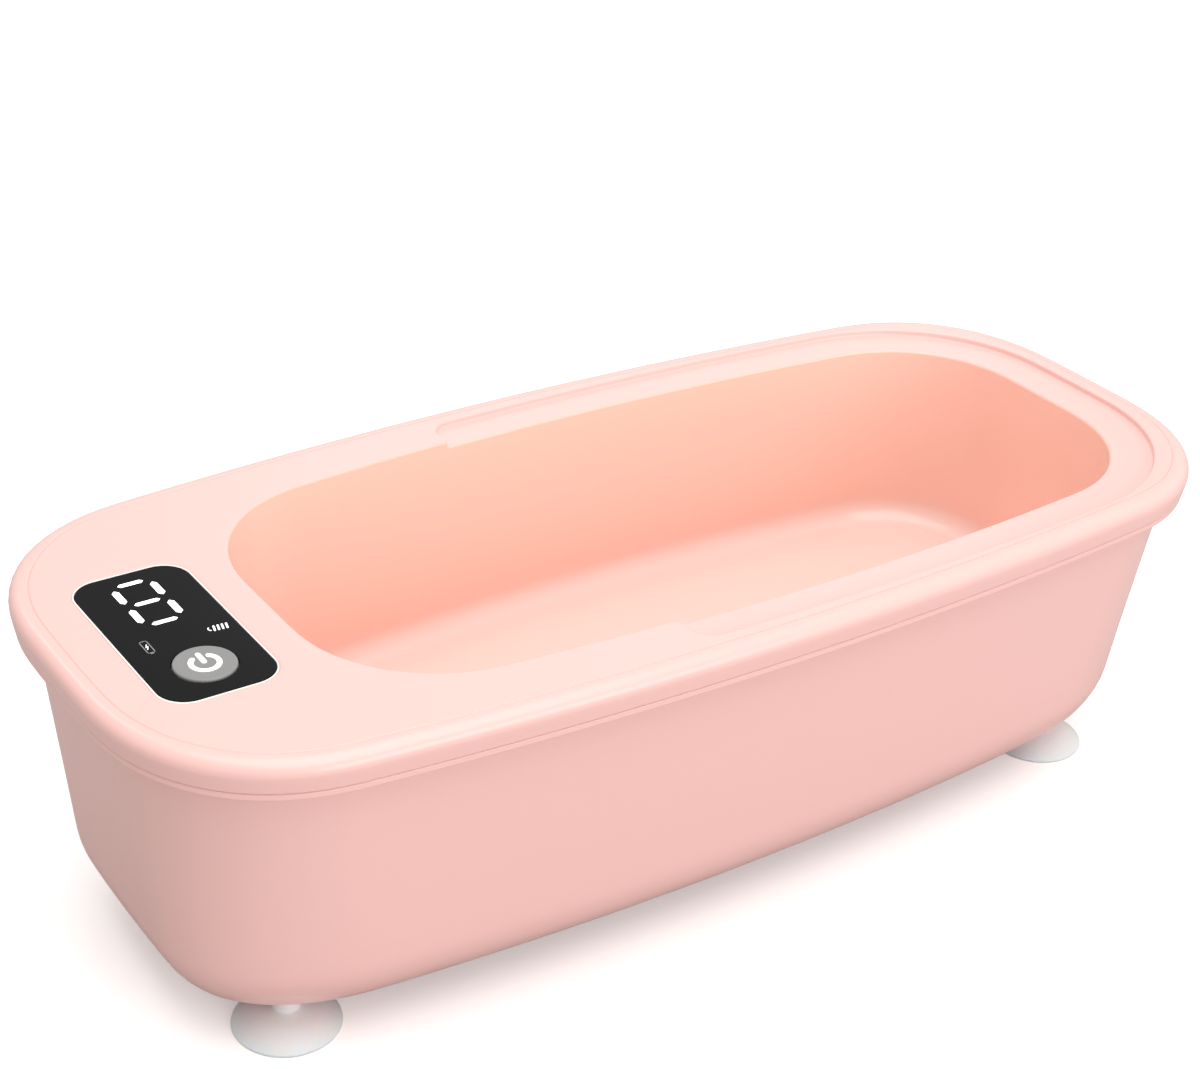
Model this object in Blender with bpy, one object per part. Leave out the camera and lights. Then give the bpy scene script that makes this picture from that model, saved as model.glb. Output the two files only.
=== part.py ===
"""Rechargeable ultrasonic cleaner: a tank and deck moulded in one piece, on a tub-shaped lower housing.

The origin is on the surface it stands on, under the middle of the rim. +X points to the tank end, the
control panel is at -X, +Y is the side with the charging socket and +Z is up. Sizes below are in millimetres,
and points are turned into metres as a mesh or curve is made.
"""

import math
from dataclasses import dataclass, replace

import bmesh
import bpy
from mathutils import Vector

MM = 0.001
GAP = 0.3  # left between two pieces that touch
OVERLAP = 1.0  # how far a boss runs into the wall that it grows from

# Outline of the rim, seen from above. Sides and ends bow outwards by the bow sizes.
LENGTH = 210.0
WIDTH = 81.0
SIDE_BOW = 7.4
END_BOW = 1.25
RIM_RADIUS_X = 29.0
RIM_RADIUS_Y = 31.2
CORNER_POWER = 2.45  # 2 is an ellipse, more is squarer

# Heights
DECK_HEIGHT = 62.4
FOOT_LIP = 3.6  # from the ground up to the housing's underside
RIM_HEIGHT = 5.2  # skirt of the top cover, from the deck to the parting line
RIM_SHOULDER = 2.6
RIM_TUCK = 0.35  # how far the skirt's lower edge turns in
SKIRT_WALL = 2.3

# Tank
DECK_WALL = 2.4
TANK_WALL = 2.0
TANK_DEPTH = 36.5
TANK_DRAFT = 3.1  # taper of each wall from the mouth to the floor fillet
TANK_FILLET = 4.5
MOUTH_FROM_PANEL_END = 34.8
MOUTH_FROM_TANK_END = 12.6
MOUTH_FROM_SIDE = 9.85
MOUTH_RADIUS = 23.0
MOUTH_POWER = 2.27
MOUTH_BOW = 5.5
MOUTH_END_BOW = 0.5
MOUTH_EDGE = 0.5
LEDGE_WIDTH = 6.8  # the recess round three sides of the mouth
LEDGE_END_WIDTH = 7.9
LEDGE_DEPTH = 1.1
LEDGE_FROM_PANEL_END = 87.3
LEDGE_CORNER = 2.5

# Lower housing
HOUSING_WALL = 2.2
HOUSING_TOP_INSET = 3.4
HOUSING_SIDE_INSET = 6.3  # at the foot of the straight wall
HOUSING_END_INSET = 7.65
HOUSING_RADIUS_X = 30.4
HOUSING_RADIUS_Y = 21.2
HOUSING_BOW = 6.1
HOUSING_FILLET = 15.8
LIP_INSET = 0.6
LIP_HEIGHT = 1.0
TONGUE_HEIGHT = 1.5
SEAL_HEIGHT = 1.0
SEAL_WIDTH = 1.6

# Control panel, let into the deck
PANEL_FROM_END = 18.25
LENS_LENGTH = 39.1
LENS_WIDTH = 19.0
LENS_THICK = 0.8
LENS_CORNER = 4.7
LENS_REST = 1.5  # width of the shelf that the lens is stuck to
BUTTON_RADIUS = 4.9
BUTTON_FROM_MIDDLE = 11.2
BUTTON_PROUD = 0.3
BUTTON_FLANGE = 0.8
BUTTON_FLANGE_THICK = 0.7
BUTTON_STEM_RADIUS = 1.5
BUTTON_TRAVEL = 0.5
DIGIT_MIDDLE = 9.6
DISPLAY_WIDTH = 12.6
DISPLAY_LENGTH = 15.6
DISPLAY_THICK = 8.0
ICON_GUIDE_LENGTH = 5.2
ICON_GUIDE_WIDTH = 15.0
ICON_GUIDE_HEIGHT = 5.0
ICON_LED_FROM_MIDDLE = 4.5
ICON_LED_HEIGHT = 0.8
BOARD_THICK = 1.6
CONTROL_BOARD_WIDTH = 20.0
CONTROL_BOARD_LENGTH = 48.0
CONTROL_BOSS_RADIUS = 2.3
CONTROL_SCREW_FROM_LENS = 1.7
CONTROL_SOCKET_PLACE = (-1.0, -9.0)  # from the middle of the panel
CONTROL_SOCKET_SIDE = 6.0
CONTROL_SOCKET_HEIGHT = 4.0
SWITCH_SIDE = 6.0
SWITCH_HEIGHT = 3.4
PLUNGER_RADIUS = 1.6
PLUNGER_HEIGHT = 2.6

# What stands on the housing's floor
BATTERY_LENGTH = 50.0
BATTERY_WIDTH = 34.0
BATTERY_THICK = 10.0
BATTERY_PAD_THICK = 0.8
BATTERY_PAD_INSET = 4.0
BATTERY_GAP = 2.4  # from the screw posts at the panel end
DRIVER_BOARD_WIDTH = 36.0
DRIVER_BOARD_LENGTH = 55.0
DRIVER_BOARD_GAP = 2.2  # from the housing's wall at the charging socket
DRIVER_BOARD_FROM_POST = 2.4
STANDOFF_RADIUS = 2.8
STANDOFF_FROM_EDGE = 3.4  # of the driver board
STANDOFF_FROM_REAR = 14.0  # clear of the charging socket

# Places on the driver board are from its middle along X and from its front edge along Y.
TRANSFORMER_PLACE = (4.0, 17.0)
TRANSFORMER_SIZE = (14.0, 16.0, 7.0)
TRANSFORMER_YOKE = 1.8  # thickness of the core above and below its winding
WINDING_WIDTH = 8.4
CHOKE_PLACE = (9.0, 34.0)
CHOKE_RADIUS = 4.0
CHOKE_HEIGHT = 6.0
STORAGE_CAPACITOR_PLACE = (0.0, 34.0)
STORAGE_CAPACITOR_RADIUS = 3.1
STORAGE_CAPACITOR_HEIGHT = 6.6
FILM_CAPACITOR_PLACE = (-6.9, 34.5)
FILM_CAPACITOR_SIZE = (5.0, 8.0, 6.5)
TRANSISTOR_PLACE = (15.2, 15.0)
TRANSISTOR_SIZE = (3.6, 8.0, 1.8)
CHIP_PLACE = (-6.5, 25.5)
CHIP_SIZE = (5.0, 5.0, 1.5)
BOARD_SOCKETS = (  # name, width, distance from the front edge
    ("panel_cable_socket", 6.0, 10.5),
    ("transducer_socket", 7.0, 18.5),
    ("battery_socket", 7.0, 27.5),
)
BOARD_SOCKET_X = -13.5
BOARD_SOCKET_DEPTH = 5.0
BOARD_SOCKET_HEIGHT = 3.6
BOARD_SOCKET_ENTRY = 2.0  # height of the leads above the socket's seat

# Transducer, under the middle of the tank
PLATE_RADIUS = 17.5
PLATE_THICK = 1.2
PIEZO_RADIUS = 12.5
PIEZO_THICK = 2.5

# Charging socket and its cover, in the side at +Y
SOCKET_WIDTH = 8.94
SOCKET_DEPTH = 7.35
SOCKET_HEIGHT = 3.26
SOCKET_SHELL = 0.35
SOCKET_TONGUE = 0.7
SOCKET_Z = 17.4
COVER_WIDTH = 15.0
COVER_HEIGHT = 7.4
COVER_THICK = 1.5
COVER_SUNK = 0.35  # behind the bowed side of the housing
SOCKET_BLOCK = 4.0  # thickness of the housing where the socket comes through

# Feet and screws
FOOT_RADIUS = 8.9
FOOT_FROM_END = 24.3
FOOT_FROM_MIDDLE = 22.9
FOOT_STEM_RADIUS = 2.3
FOOT_WALL = 1.2
FOOT_PAD_RADIUS = 4.0  # a round seat inside the housing for each foot's head
FOOT_PAD_START = 0.1  # above the housing's floor, where the fillet still covers it
FOOT_PAD_HEIGHT = 3.2
SCREW_FROM_PANEL_END = 45.0
SCREW_FROM_TANK_END = 32.0
SCREW_FROM_MIDDLE = 20.0
SCREW_HEAD_RADIUS = 2.7
SCREW_HEAD_HEIGHT = 2.1
SCREW_SHANK_RADIUS = 1.25
SCREW_BITE = 9.0
SCREW_SUNK = 1.4  # how deep the head lies in its hole
POST_RADIUS = 3.6
POST_HEIGHT = 6.2
BOSS_RADIUS = 3.0  # of the top cover's bosses, which the screws bite into
SMALL_HEAD_RADIUS = 2.1
SMALL_HEAD_HEIGHT = 1.4
SMALL_SHANK_RADIUS = 0.95
SMALL_SCREW_BITE = 4.5
SMALL_SCREW_TIP = 0.6
LEAD_RADIUS = 0.8
LEAD_SPACING = 1.3  # of each lead from the middle of its pair
CABLE_RADIUS = 1.4
CABLE_FROM_WALL = 9.1  # middle of the panel cable, from the foot of the front wall
CABLE_CLEAR = 2.8  # above the housing's floor

# Steps in curved outlines
CORNER_STEPS = 7
SIDE_STEPS = 6
END_STEPS = 3
FILLET_STEPS = 4
ROUND_STEPS = 20
SMALL_ROUND_STEPS = 12
LEAD_STEPS = 4

DECK_UNDERSIDE = DECK_HEIGHT - DECK_WALL
PARTING = DECK_HEIGHT - RIM_HEIGHT
HOUSING_TOP = PARTING - GAP
HOUSING_FLOOR = FOOT_LIP + HOUSING_WALL
TANK_FLOOR = DECK_HEIGHT - TANK_DEPTH
TANK_UNDERSIDE = TANK_FLOOR - TANK_WALL
TANK_START = -LENGTH / 2 + MOUTH_FROM_PANEL_END
TANK_END = LENGTH / 2 - MOUTH_FROM_TANK_END
TANK_MIDDLE = (TANK_START + TANK_END) / 2
PANEL_X = -LENGTH / 2 + PANEL_FROM_END
LENS_UNDERSIDE = DECK_HEIGHT - LENS_THICK
DISPLAY_TOP = LENS_UNDERSIDE - GAP
CONTROL_BOARD_TOP = DISPLAY_TOP - DISPLAY_THICK - GAP
CONTROL_SCREW_Y = LENS_LENGTH / 2 + CONTROL_SCREW_FROM_LENS
DRIVER_BOARD_TOP = SOCKET_Z - SOCKET_HEIGHT / 2 - GAP
SCREW_XS = (-LENGTH / 2 + SCREW_FROM_PANEL_END, LENGTH / 2 - SCREW_FROM_TANK_END)
DRIVER_BOARD_END = SCREW_XS[1] - POST_RADIUS - DRIVER_BOARD_FROM_POST
DRIVER_BOARD_X = DRIVER_BOARD_END - DRIVER_BOARD_WIDTH / 2

for old in list(bpy.data.objects):
    bpy.data.objects.remove(old)


# ---------------------------------------------------------------- outlines


@dataclass(frozen=True)
class Plan:
    """A rounded rectangle seen from above, symmetric about the X axis, whose sides and ends bow outwards."""

    x0: float
    x1: float
    half: float
    radius_x: float
    radius_y: float
    power: float
    side_bow: float
    end_bow: float

    def inset(self, side, end=None):
        end = side if end is None else end
        return replace(
            self,
            x0=self.x0 + end,
            x1=self.x1 - end,
            half=self.half - side,
            radius_x=max(self.radius_x - end, 0.5),
            radius_y=max(self.radius_y - side, 0.5),
        )

    def bowed(self, x, y):
        u = (2 * x - self.x0 - self.x1) / (self.x1 - self.x0)
        v = y / self.half
        return x + self.end_bow * (1 - v * v) * u, y + self.side_bow * (1 - u * u) * v

    def side(self, x):
        """How far the bowed side lies from the X axis, at an x between the corners."""
        return self.bowed(x, self.half)[1]

    def ring(self, z):
        """The outline's points at height z, counter-clockwise from the corner at +X, +Y."""
        straight = []
        for sx, sy in ((1, 1), (-1, 1), (-1, -1), (1, -1)):
            corner = []
            for i in range(CORNER_STEPS + 1):
                turn = math.pi / 2 * i / CORNER_STEPS
                along = math.cos(turn) ** (2 / self.power) if i < CORNER_STEPS else 0.0
                up = math.sin(turn) ** (2 / self.power)
                end = self.x1 if sx > 0 else self.x0
                x = end - sx * self.radius_x * (1 - along)
                corner.append((x, sy * (self.half - self.radius_y * (1 - up))))
            straight.append(corner if sx * sy > 0 else corner[::-1])
        points = []
        for k, corner in enumerate(straight):
            following = straight[(k + 1) % 4][0]
            steps = SIDE_STEPS if k % 2 == 0 else END_STEPS
            points += corner
            for i in range(1, steps):
                share = i / steps
                points.append(tuple(a * (1 - share) + b * share for a, b in zip(corner[-1], following)))
        return [Vector((*self.bowed(x, y), z)) for x, y in points]


RIM = Plan(
    -LENGTH / 2, LENGTH / 2, WIDTH / 2, RIM_RADIUS_X, RIM_RADIUS_Y, CORNER_POWER, SIDE_BOW, END_BOW
)
MOUTH = Plan(
    TANK_START,
    TANK_END,
    WIDTH / 2 - MOUTH_FROM_SIDE,
    MOUTH_RADIUS,
    MOUTH_RADIUS,
    MOUTH_POWER,
    MOUTH_BOW,
    MOUTH_END_BOW,
)
HOUSING_UPPER = RIM.inset(HOUSING_TOP_INSET)
HOUSING_LOWER = Plan(
    -LENGTH / 2 + HOUSING_END_INSET,
    LENGTH / 2 - HOUSING_END_INSET,
    WIDTH / 2 - HOUSING_SIDE_INSET,
    HOUSING_RADIUS_X,
    HOUSING_RADIUS_Y,
    CORNER_POWER,
    HOUSING_BOW,
    END_BOW,
)


def fillet_rings(plan, radius, floor, start=0.0):
    """Rings that turn from a wall down into a floor, from the wall to the floor."""
    rings = []
    for i in range(FILLET_STEPS + 1):
        turn = math.pi / 2 * i / FILLET_STEPS
        inset = start + radius * (1 - math.cos(turn))
        rings.append(plan.inset(inset).ring(floor + radius * (1 - math.sin(turn))))
    return rings


def rounded_rectangle(cx, cy, size_x, size_y, radius, steps=4):
    points = []
    for k, (sx, sy) in enumerate(((1, 1), (-1, 1), (-1, -1), (1, -1))):
        for i in range(steps + 1):
            turn = math.pi / 2 * (k + i / steps)
            x = cx + sx * (size_x / 2 - radius) + radius * math.cos(turn)
            y = cy + sy * (size_y / 2 - radius) + radius * math.sin(turn)
            points.append((x, y))
    return points


def circle(cx, cy, radius, steps=ROUND_STEPS):
    turns = [2 * math.pi * i / steps for i in range(steps)]
    return [(cx + radius * math.cos(t), cy + radius * math.sin(t)) for t in turns]


# ---------------------------------------------------------------- solids


def material(name, colour, roughness, metallic=0.0):
    made = bpy.data.materials.new(name)
    made.use_nodes = True
    shader = made.node_tree.nodes["Principled BSDF"]
    shader.inputs["Base Color"].default_value = (*colour, 1.0)
    shader.inputs["Roughness"].default_value = roughness
    shader.inputs["Metallic"].default_value = metallic
    return made


PINK = material("pink_shell", (0.86, 0.60, 0.54), 0.35)
BLACK = material("black_lens", (0.02, 0.02, 0.02), 0.12)
GREY = material("grey_key", (0.36, 0.36, 0.36), 0.45)
DARK = material("dark_plastic", (0.03, 0.03, 0.03), 0.5)
WHITE = material("white_plastic", (0.8, 0.8, 0.78), 0.4)
SILICONE = material("milky_silicone", (0.80, 0.74, 0.74), 0.5)
STEEL = material("steel", (0.55, 0.55, 0.56), 0.3, 1.0)
BOARD = material("board_green", (0.03, 0.16, 0.08), 0.5)
CERAMIC = material("piezo_ceramic", (0.62, 0.56, 0.46), 0.6)
FERRITE = material("ferrite", (0.05, 0.05, 0.055), 0.7)
COPPER = material("copper_winding", (0.62, 0.28, 0.13), 0.35, 1.0)
FOIL = material("battery_foil", (0.60, 0.61, 0.63), 0.35, 1.0)
FOAM = material("foam_pad", (0.06, 0.06, 0.06), 0.95)
RED = material("red_lead", (0.55, 0.03, 0.03), 0.5)
BLUE = material("blue_lead", (0.04, 0.10, 0.45), 0.5)


def finish(name, bm, finish_material, origin=(0.0, 0.0, 0.0)):
    """Turns a bmesh in millimetres into an object in metres, whose own origin is at origin."""
    bmesh.ops.translate(bm, verts=bm.verts, vec=-Vector(origin))
    bmesh.ops.scale(bm, verts=bm.verts, vec=(MM, MM, MM))
    bmesh.ops.recalc_face_normals(bm, faces=bm.faces)
    mesh = bpy.data.meshes.new(name)
    bm.to_mesh(mesh)
    bm.free()
    mesh.shade_smooth()
    mesh.set_sharp_from_angle(angle=math.radians(35))
    if finish_material:
        mesh.materials.append(finish_material)
    made = bpy.data.objects.new(name, mesh)
    made.location = Vector(origin) * MM
    bpy.context.scene.collection.objects.link(made)
    return made


def add_skin(bm, rings):
    """Joins each ring of points to the next and closes the first and the last, as one closed body."""
    made = [[bm.verts.new(p) for p in ring] for ring in rings]
    for lower, upper in zip(made, made[1:]):
        for i, vert in enumerate(lower):
            j = (i + 1) % len(lower)
            bm.faces.new((vert, lower[j], upper[j], upper[i]))
    bm.faces.new(made[0][::-1])
    bm.faces.new(made[-1])


def loft(name, rings, finish_material):
    bm = bmesh.new()
    add_skin(bm, rings)
    return finish(name, bm, finish_material)


def prism(name, outlines, finish_material, origin=(0.0, 0.0, 0.0)):
    """Upright prisms, one for each (points, low, high), as one object."""
    bm = bmesh.new()
    for points, low, high in outlines:
        add_skin(bm, [[Vector((x, y, z)) for x, y in points] for z in (low, high)])
    return finish(name, bm, finish_material, origin)


def turned(name, profile, centres, finish_material, steps=SMALL_ROUND_STEPS, origin=(0.0, 0.0, 0.0)):
    """A solid of revolution at each centre. The profile lists (radius, z) along the axis."""
    bm = bmesh.new()
    for cx, cy in centres:
        add_skin(bm, [[Vector((x, y, z)) for x, y in circle(cx, cy, r, steps)] for r, z in profile])
    return finish(name, bm, finish_material, origin)


def block(name, low, high, radius, finish_material):
    """An upright block between two corners, with its four upright edges rounded."""
    outline = rounded_rectangle(
        (low[0] + high[0]) / 2, (low[1] + high[1]) / 2, high[0] - low[0], high[1] - low[1], radius, 2
    )
    return prism(name, [(outline, low[2], high[2])], finish_material)


def through(route):
    """A smooth curve through the route's points, which doesn't overshoot where they are unevenly spaced."""
    points = [Vector(p) for p in route]
    ends = [points[0] * 2 - points[1], *points, points[-1] * 2 - points[-2]]
    smooth = []
    for a, b, c, d in zip(ends, ends[1:], ends[2:], ends[3:]):
        before, length, after = (b - a).length, (c - b).length, (d - c).length
        leaving = (c - a) * length / (before + length)
        arriving = (d - b) * length / (length + after)
        for i in range(LEAD_STEPS):
            t = i / LEAD_STEPS
            tangents = leaving * (t - 2 * t**2 + t**3) + arriving * (t**3 - t**2)
            smooth.append(b + (c - b) * (3 * t**2 - 2 * t**3) + tangents)
    return [*smooth, points[-1]]


def sweep(start, leaving, end, arriving):
    """A smooth curve between two ends, each with its own direction. A direction's length is its reach."""
    steps = 3 * LEAD_STEPS
    points = []
    for i in range(steps + 1):
        t = i / steps
        s = 1 - t
        handles = (start + leaving) * 3 * s * s * t + (end - arriving) * 3 * s * t * t
        points.append(start * s**3 + handles + end * t**3)
    return points


def lead(name, points, radius, finish_material):
    """A wire or cable along the points, with filled ends."""
    curve = bpy.data.curves.new(name, "CURVE")
    curve.dimensions = "3D"
    curve.bevel_depth = radius * MM
    curve.bevel_resolution = 1
    curve.use_fill_caps = True
    spline = curve.splines.new("POLY")
    spline.points.add(len(points) - 1)
    for point, place in zip(spline.points, points):
        point.co = (*(place * MM), 1.0)
    curve.materials.append(finish_material)
    made = bpy.data.objects.new(name, curve)
    bpy.context.scene.collection.objects.link(made)
    return made


def combine(target, tool, operation):
    """Cuts the tool from the target, or joins it on, and keeps the tool as a hidden guide."""
    tool.hide_render = True
    tool.display_type = "WIRE"
    change = target.modifiers.new(tool.name, "BOOLEAN")
    change.operation = operation
    change.object = tool


def axis_empty(name, place):
    """An empty on a moving piece's axis, to which its pieces are parented."""
    made = bpy.data.objects.new(name, None)
    made.location = Vector(place) * MM
    bpy.context.scene.collection.objects.link(made)
    bpy.context.view_layer.update()
    return made


def hang_on(piece, empty):
    piece.parent = empty
    piece.matrix_parent_inverse = empty.matrix_world.inverted()


# ---------------------------------------------------------------- top cover


def ledge_outline():
    """The recess beside the mouth: the mouth's outline moved outwards, and cut off straight at one end."""
    outer = MOUTH.inset(-LEDGE_WIDTH, -LEDGE_END_WIDTH)
    start = -LENGTH / 2 + LEDGE_FROM_PANEL_END
    turn_x = start + LEDGE_CORNER
    turn_y = outer.side(turn_x) - LEDGE_CORNER
    ring = [(p.x, p.y) for p in outer.ring(0.0)]
    lower = [p for p in ring if p[0] > turn_x and p[1] < 0]
    upper = [p for p in ring if p[0] > turn_x and p[1] >= 0]
    arc = [math.pi / 2 * i / 4 for i in range(5)]
    corner = [(turn_x - LEDGE_CORNER * math.sin(a), turn_y + LEDGE_CORNER * math.cos(a)) for a in arc]
    upper.sort(key=lambda p: math.atan2(p[1], p[0] - turn_x))
    lower.sort(key=lambda p: math.atan2(p[1], p[0] - turn_x))
    return lower + upper + corner + [(x, -y) for x, y in corner[::-1]]


def screw_places():
    return [(x, side * SCREW_FROM_MIDDLE) for x in SCREW_XS for side in (1, -1)]


def control_screw_places():
    return [(PANEL_X, side * CONTROL_SCREW_Y) for side in (1, -1)]


def make_top_cover():
    inner_foot = MOUTH.inset(TANK_DRAFT)
    outer_foot = MOUTH.inset(TANK_DRAFT - TANK_WALL)
    rings = fillet_rings(inner_foot, TANK_FILLET, TANK_FLOOR)[::-1]
    rings.append(MOUTH.ring(DECK_HEIGHT - MOUTH_EDGE))
    rings.append(MOUTH.inset(-0.3 * MOUTH_EDGE).ring(DECK_HEIGHT - 0.3 * MOUTH_EDGE))
    rings.append(MOUTH.inset(-MOUTH_EDGE).ring(DECK_HEIGHT))
    for i in range(FILLET_STEPS + 1):
        turn = math.pi / 2 * i / FILLET_STEPS
        drop = RIM_SHOULDER * (1 - math.cos(turn))
        rings.append(RIM.inset(RIM_SHOULDER * (1 - math.sin(turn))).ring(DECK_HEIGHT - drop))
    rings.append(RIM.inset(RIM_TUCK).ring(PARTING))
    rings.append(RIM.inset(SKIRT_WALL).ring(PARTING))
    rings.append(RIM.inset(SKIRT_WALL).ring(DECK_UNDERSIDE))
    rings.append(MOUTH.inset(-TANK_WALL).ring(DECK_UNDERSIDE))
    outer_radius = TANK_FILLET + TANK_WALL
    rings += fillet_rings(outer_foot, outer_radius, TANK_UNDERSIDE)
    cover = loft("top_cover", rings, PINK)

    boss_low = HOUSING_FLOOR + POST_HEIGHT + GAP
    boss_high = TANK_UNDERSIDE + OVERLAP
    bosses = [(circle(x, y, BOSS_RADIUS, 12), boss_low, boss_high) for x, y in screw_places()]
    bosses += [
        (circle(x, y, CONTROL_BOSS_RADIUS, 12), CONTROL_BOARD_TOP + GAP, DECK_UNDERSIDE + 0.4)
        for x, y in control_screw_places()
    ]
    combine(cover, prism("cover_bosses", bosses, None), "UNION")
    ledge = (ledge_outline(), DECK_HEIGHT - LEDGE_DEPTH, DECK_HEIGHT + 1)
    combine(cover, prism("ledge_cut", [ledge], None), "DIFFERENCE")
    recess = rounded_rectangle(PANEL_X, 0, LENS_WIDTH + 2 * GAP, LENS_LENGTH + 2 * GAP, LENS_CORNER + GAP)
    lens_seat = (recess, LENS_UNDERSIDE - GAP, DECK_HEIGHT + 1)
    combine(cover, prism("lens_recess_cut", [lens_seat], None), "DIFFERENCE")
    window = rounded_rectangle(
        PANEL_X, 0, LENS_WIDTH - 2 * LENS_REST, LENS_LENGTH - 2 * LENS_REST, LENS_CORNER - LENS_REST
    )
    combine(cover, prism("panel_window_cut", [(window, DECK_UNDERSIDE - 1, DECK_HEIGHT)], None), "DIFFERENCE")
    pilots = [
        (circle(x, y, SCREW_SHANK_RADIUS + GAP, 12), boss_low - 1, boss_low + SCREW_BITE)
        for x, y in screw_places()
    ]
    pilots += [
        (
            circle(x, y, SMALL_SHANK_RADIUS + GAP, 8),
            CONTROL_BOARD_TOP - 1,
            CONTROL_BOARD_TOP + SMALL_SCREW_BITE + 2 * GAP,
        )
        for x, y in control_screw_places()
    ]
    combine(cover, prism("cover_pilot_cut", pilots, None), "DIFFERENCE")


# ---------------------------------------------------------------- lower housing


def foot_places():
    x = LENGTH / 2 - FOOT_FROM_END
    return [(sx * x, sy * FOOT_FROM_MIDDLE) for sx in (-1, 1) for sy in (-1, 1)]


def driver_board_rear():
    """Y of the driver board's edge at the charging socket."""
    return HOUSING_LOWER.side(DRIVER_BOARD_END) - HOUSING_WALL - DRIVER_BOARD_GAP


def standoff_places():
    rear = driver_board_rear()
    across = DRIVER_BOARD_WIDTH / 2 - STANDOFF_FROM_EDGE
    ys = (rear - DRIVER_BOARD_LENGTH + STANDOFF_FROM_EDGE, rear - STANDOFF_FROM_REAR)
    return [(DRIVER_BOARD_X + side * across, y) for side in (-1, 1) for y in ys]


def cover_face():
    """Y of the charging cover's outer face when shut."""
    return HOUSING_LOWER.side(DRIVER_BOARD_X) - COVER_SUNK


def make_lower_housing():
    rings = fillet_rings(HOUSING_LOWER, HOUSING_FILLET, FOOT_LIP)[::-1]
    rings.append(HOUSING_UPPER.ring(HOUSING_TOP - LIP_HEIGHT - 0.3))
    rings.append(RIM.inset(LIP_INSET).ring(HOUSING_TOP - LIP_HEIGHT))
    rings.append(RIM.inset(LIP_INSET).ring(HOUSING_TOP))
    rings.append(RIM.inset(SKIRT_WALL + GAP).ring(HOUSING_TOP))
    rings.append(RIM.inset(SKIRT_WALL + GAP).ring(HOUSING_TOP + TONGUE_HEIGHT))
    rings.append(HOUSING_UPPER.inset(HOUSING_WALL).ring(HOUSING_TOP + TONGUE_HEIGHT))
    rings.append(HOUSING_UPPER.inset(HOUSING_WALL).ring(HOUSING_TOP - LIP_HEIGHT))
    rings += fillet_rings(HOUSING_LOWER, HOUSING_FILLET - HOUSING_WALL, HOUSING_FLOOR, HOUSING_WALL)
    housing = loft("lower_housing", rings, PINK)

    low = HOUSING_FLOOR - OVERLAP
    posts = [(circle(x, y, POST_RADIUS, 12), low, HOUSING_FLOOR + POST_HEIGHT) for x, y in screw_places()]
    board_underside = DRIVER_BOARD_TOP - BOARD_THICK
    posts += [(circle(x, y, STANDOFF_RADIUS, 10), low, board_underside - GAP) for x, y in standoff_places()]
    combine(housing, prism("housing_posts", posts, None), "UNION")
    pad_top = HOUSING_FLOOR + FOOT_PAD_HEIGHT
    pad_low = HOUSING_FLOOR + FOOT_PAD_START
    pads = [(circle(x, y, FOOT_PAD_RADIUS, 12), pad_low, pad_top) for x, y in foot_places()]
    combine(housing, prism("foot_pads", pads, None), "UNION")

    face = cover_face()
    back = face - COVER_THICK - GAP
    middle = back - SOCKET_BLOCK / 2 + 0.6
    thick = rounded_rectangle(DRIVER_BOARD_X, middle, SOCKET_WIDTH + 8, SOCKET_BLOCK, 0.5, 2)
    socket_half = SOCKET_HEIGHT / 2
    surround = (thick, SOCKET_Z - socket_half - 2.0, SOCKET_Z + socket_half + 2.6)
    combine(housing, prism("socket_surround", [surround], None), "UNION")
    outline = rounded_rectangle(DRIVER_BOARD_X, back, SOCKET_WIDTH + 2 * GAP, 4 * SOCKET_BLOCK, 0.1, 1)
    slot = (outline, SOCKET_Z - socket_half - GAP, SOCKET_Z + socket_half + GAP)
    combine(housing, prism("socket_slot_cut", [slot], None), "DIFFERENCE")
    outline = rounded_rectangle(DRIVER_BOARD_X, back + 5.0, COVER_WIDTH + 2 * GAP, 10.0, 0.2, 1)
    cover_half = COVER_HEIGHT / 2 + GAP
    recess = (outline, SOCKET_Z - cover_half, SOCKET_Z + cover_half)
    combine(housing, prism("cover_recess_cut", [recess], None), "DIFFERENCE")

    head_top = FOOT_LIP + SCREW_HEAD_HEIGHT + SCREW_SUNK
    screw_hole = [
        (SCREW_HEAD_RADIUS + GAP, FOOT_LIP - 1),
        (SCREW_HEAD_RADIUS + GAP, head_top),
        (SCREW_SHANK_RADIUS + GAP, head_top),
        (SCREW_SHANK_RADIUS + GAP, HOUSING_FLOOR + POST_HEIGHT + 1),
    ]
    combine(housing, turned("housing_screw_cut", screw_hole, screw_places(), None), "DIFFERENCE")
    holes = [(circle(x, y, FOOT_STEM_RADIUS + GAP, 12), FOOT_LIP - 1, pad_top + 1) for x, y in foot_places()]
    holes += [
        (
            circle(x, y, SMALL_SHANK_RADIUS + GAP, 8),
            DRIVER_BOARD_TOP - SMALL_SCREW_BITE - BOARD_THICK - GAP,
            board_underside + 1,
        )
        for x, y in standoff_places()
    ]
    combine(housing, prism("housing_hole_cut", holes, None), "DIFFERENCE")


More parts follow.
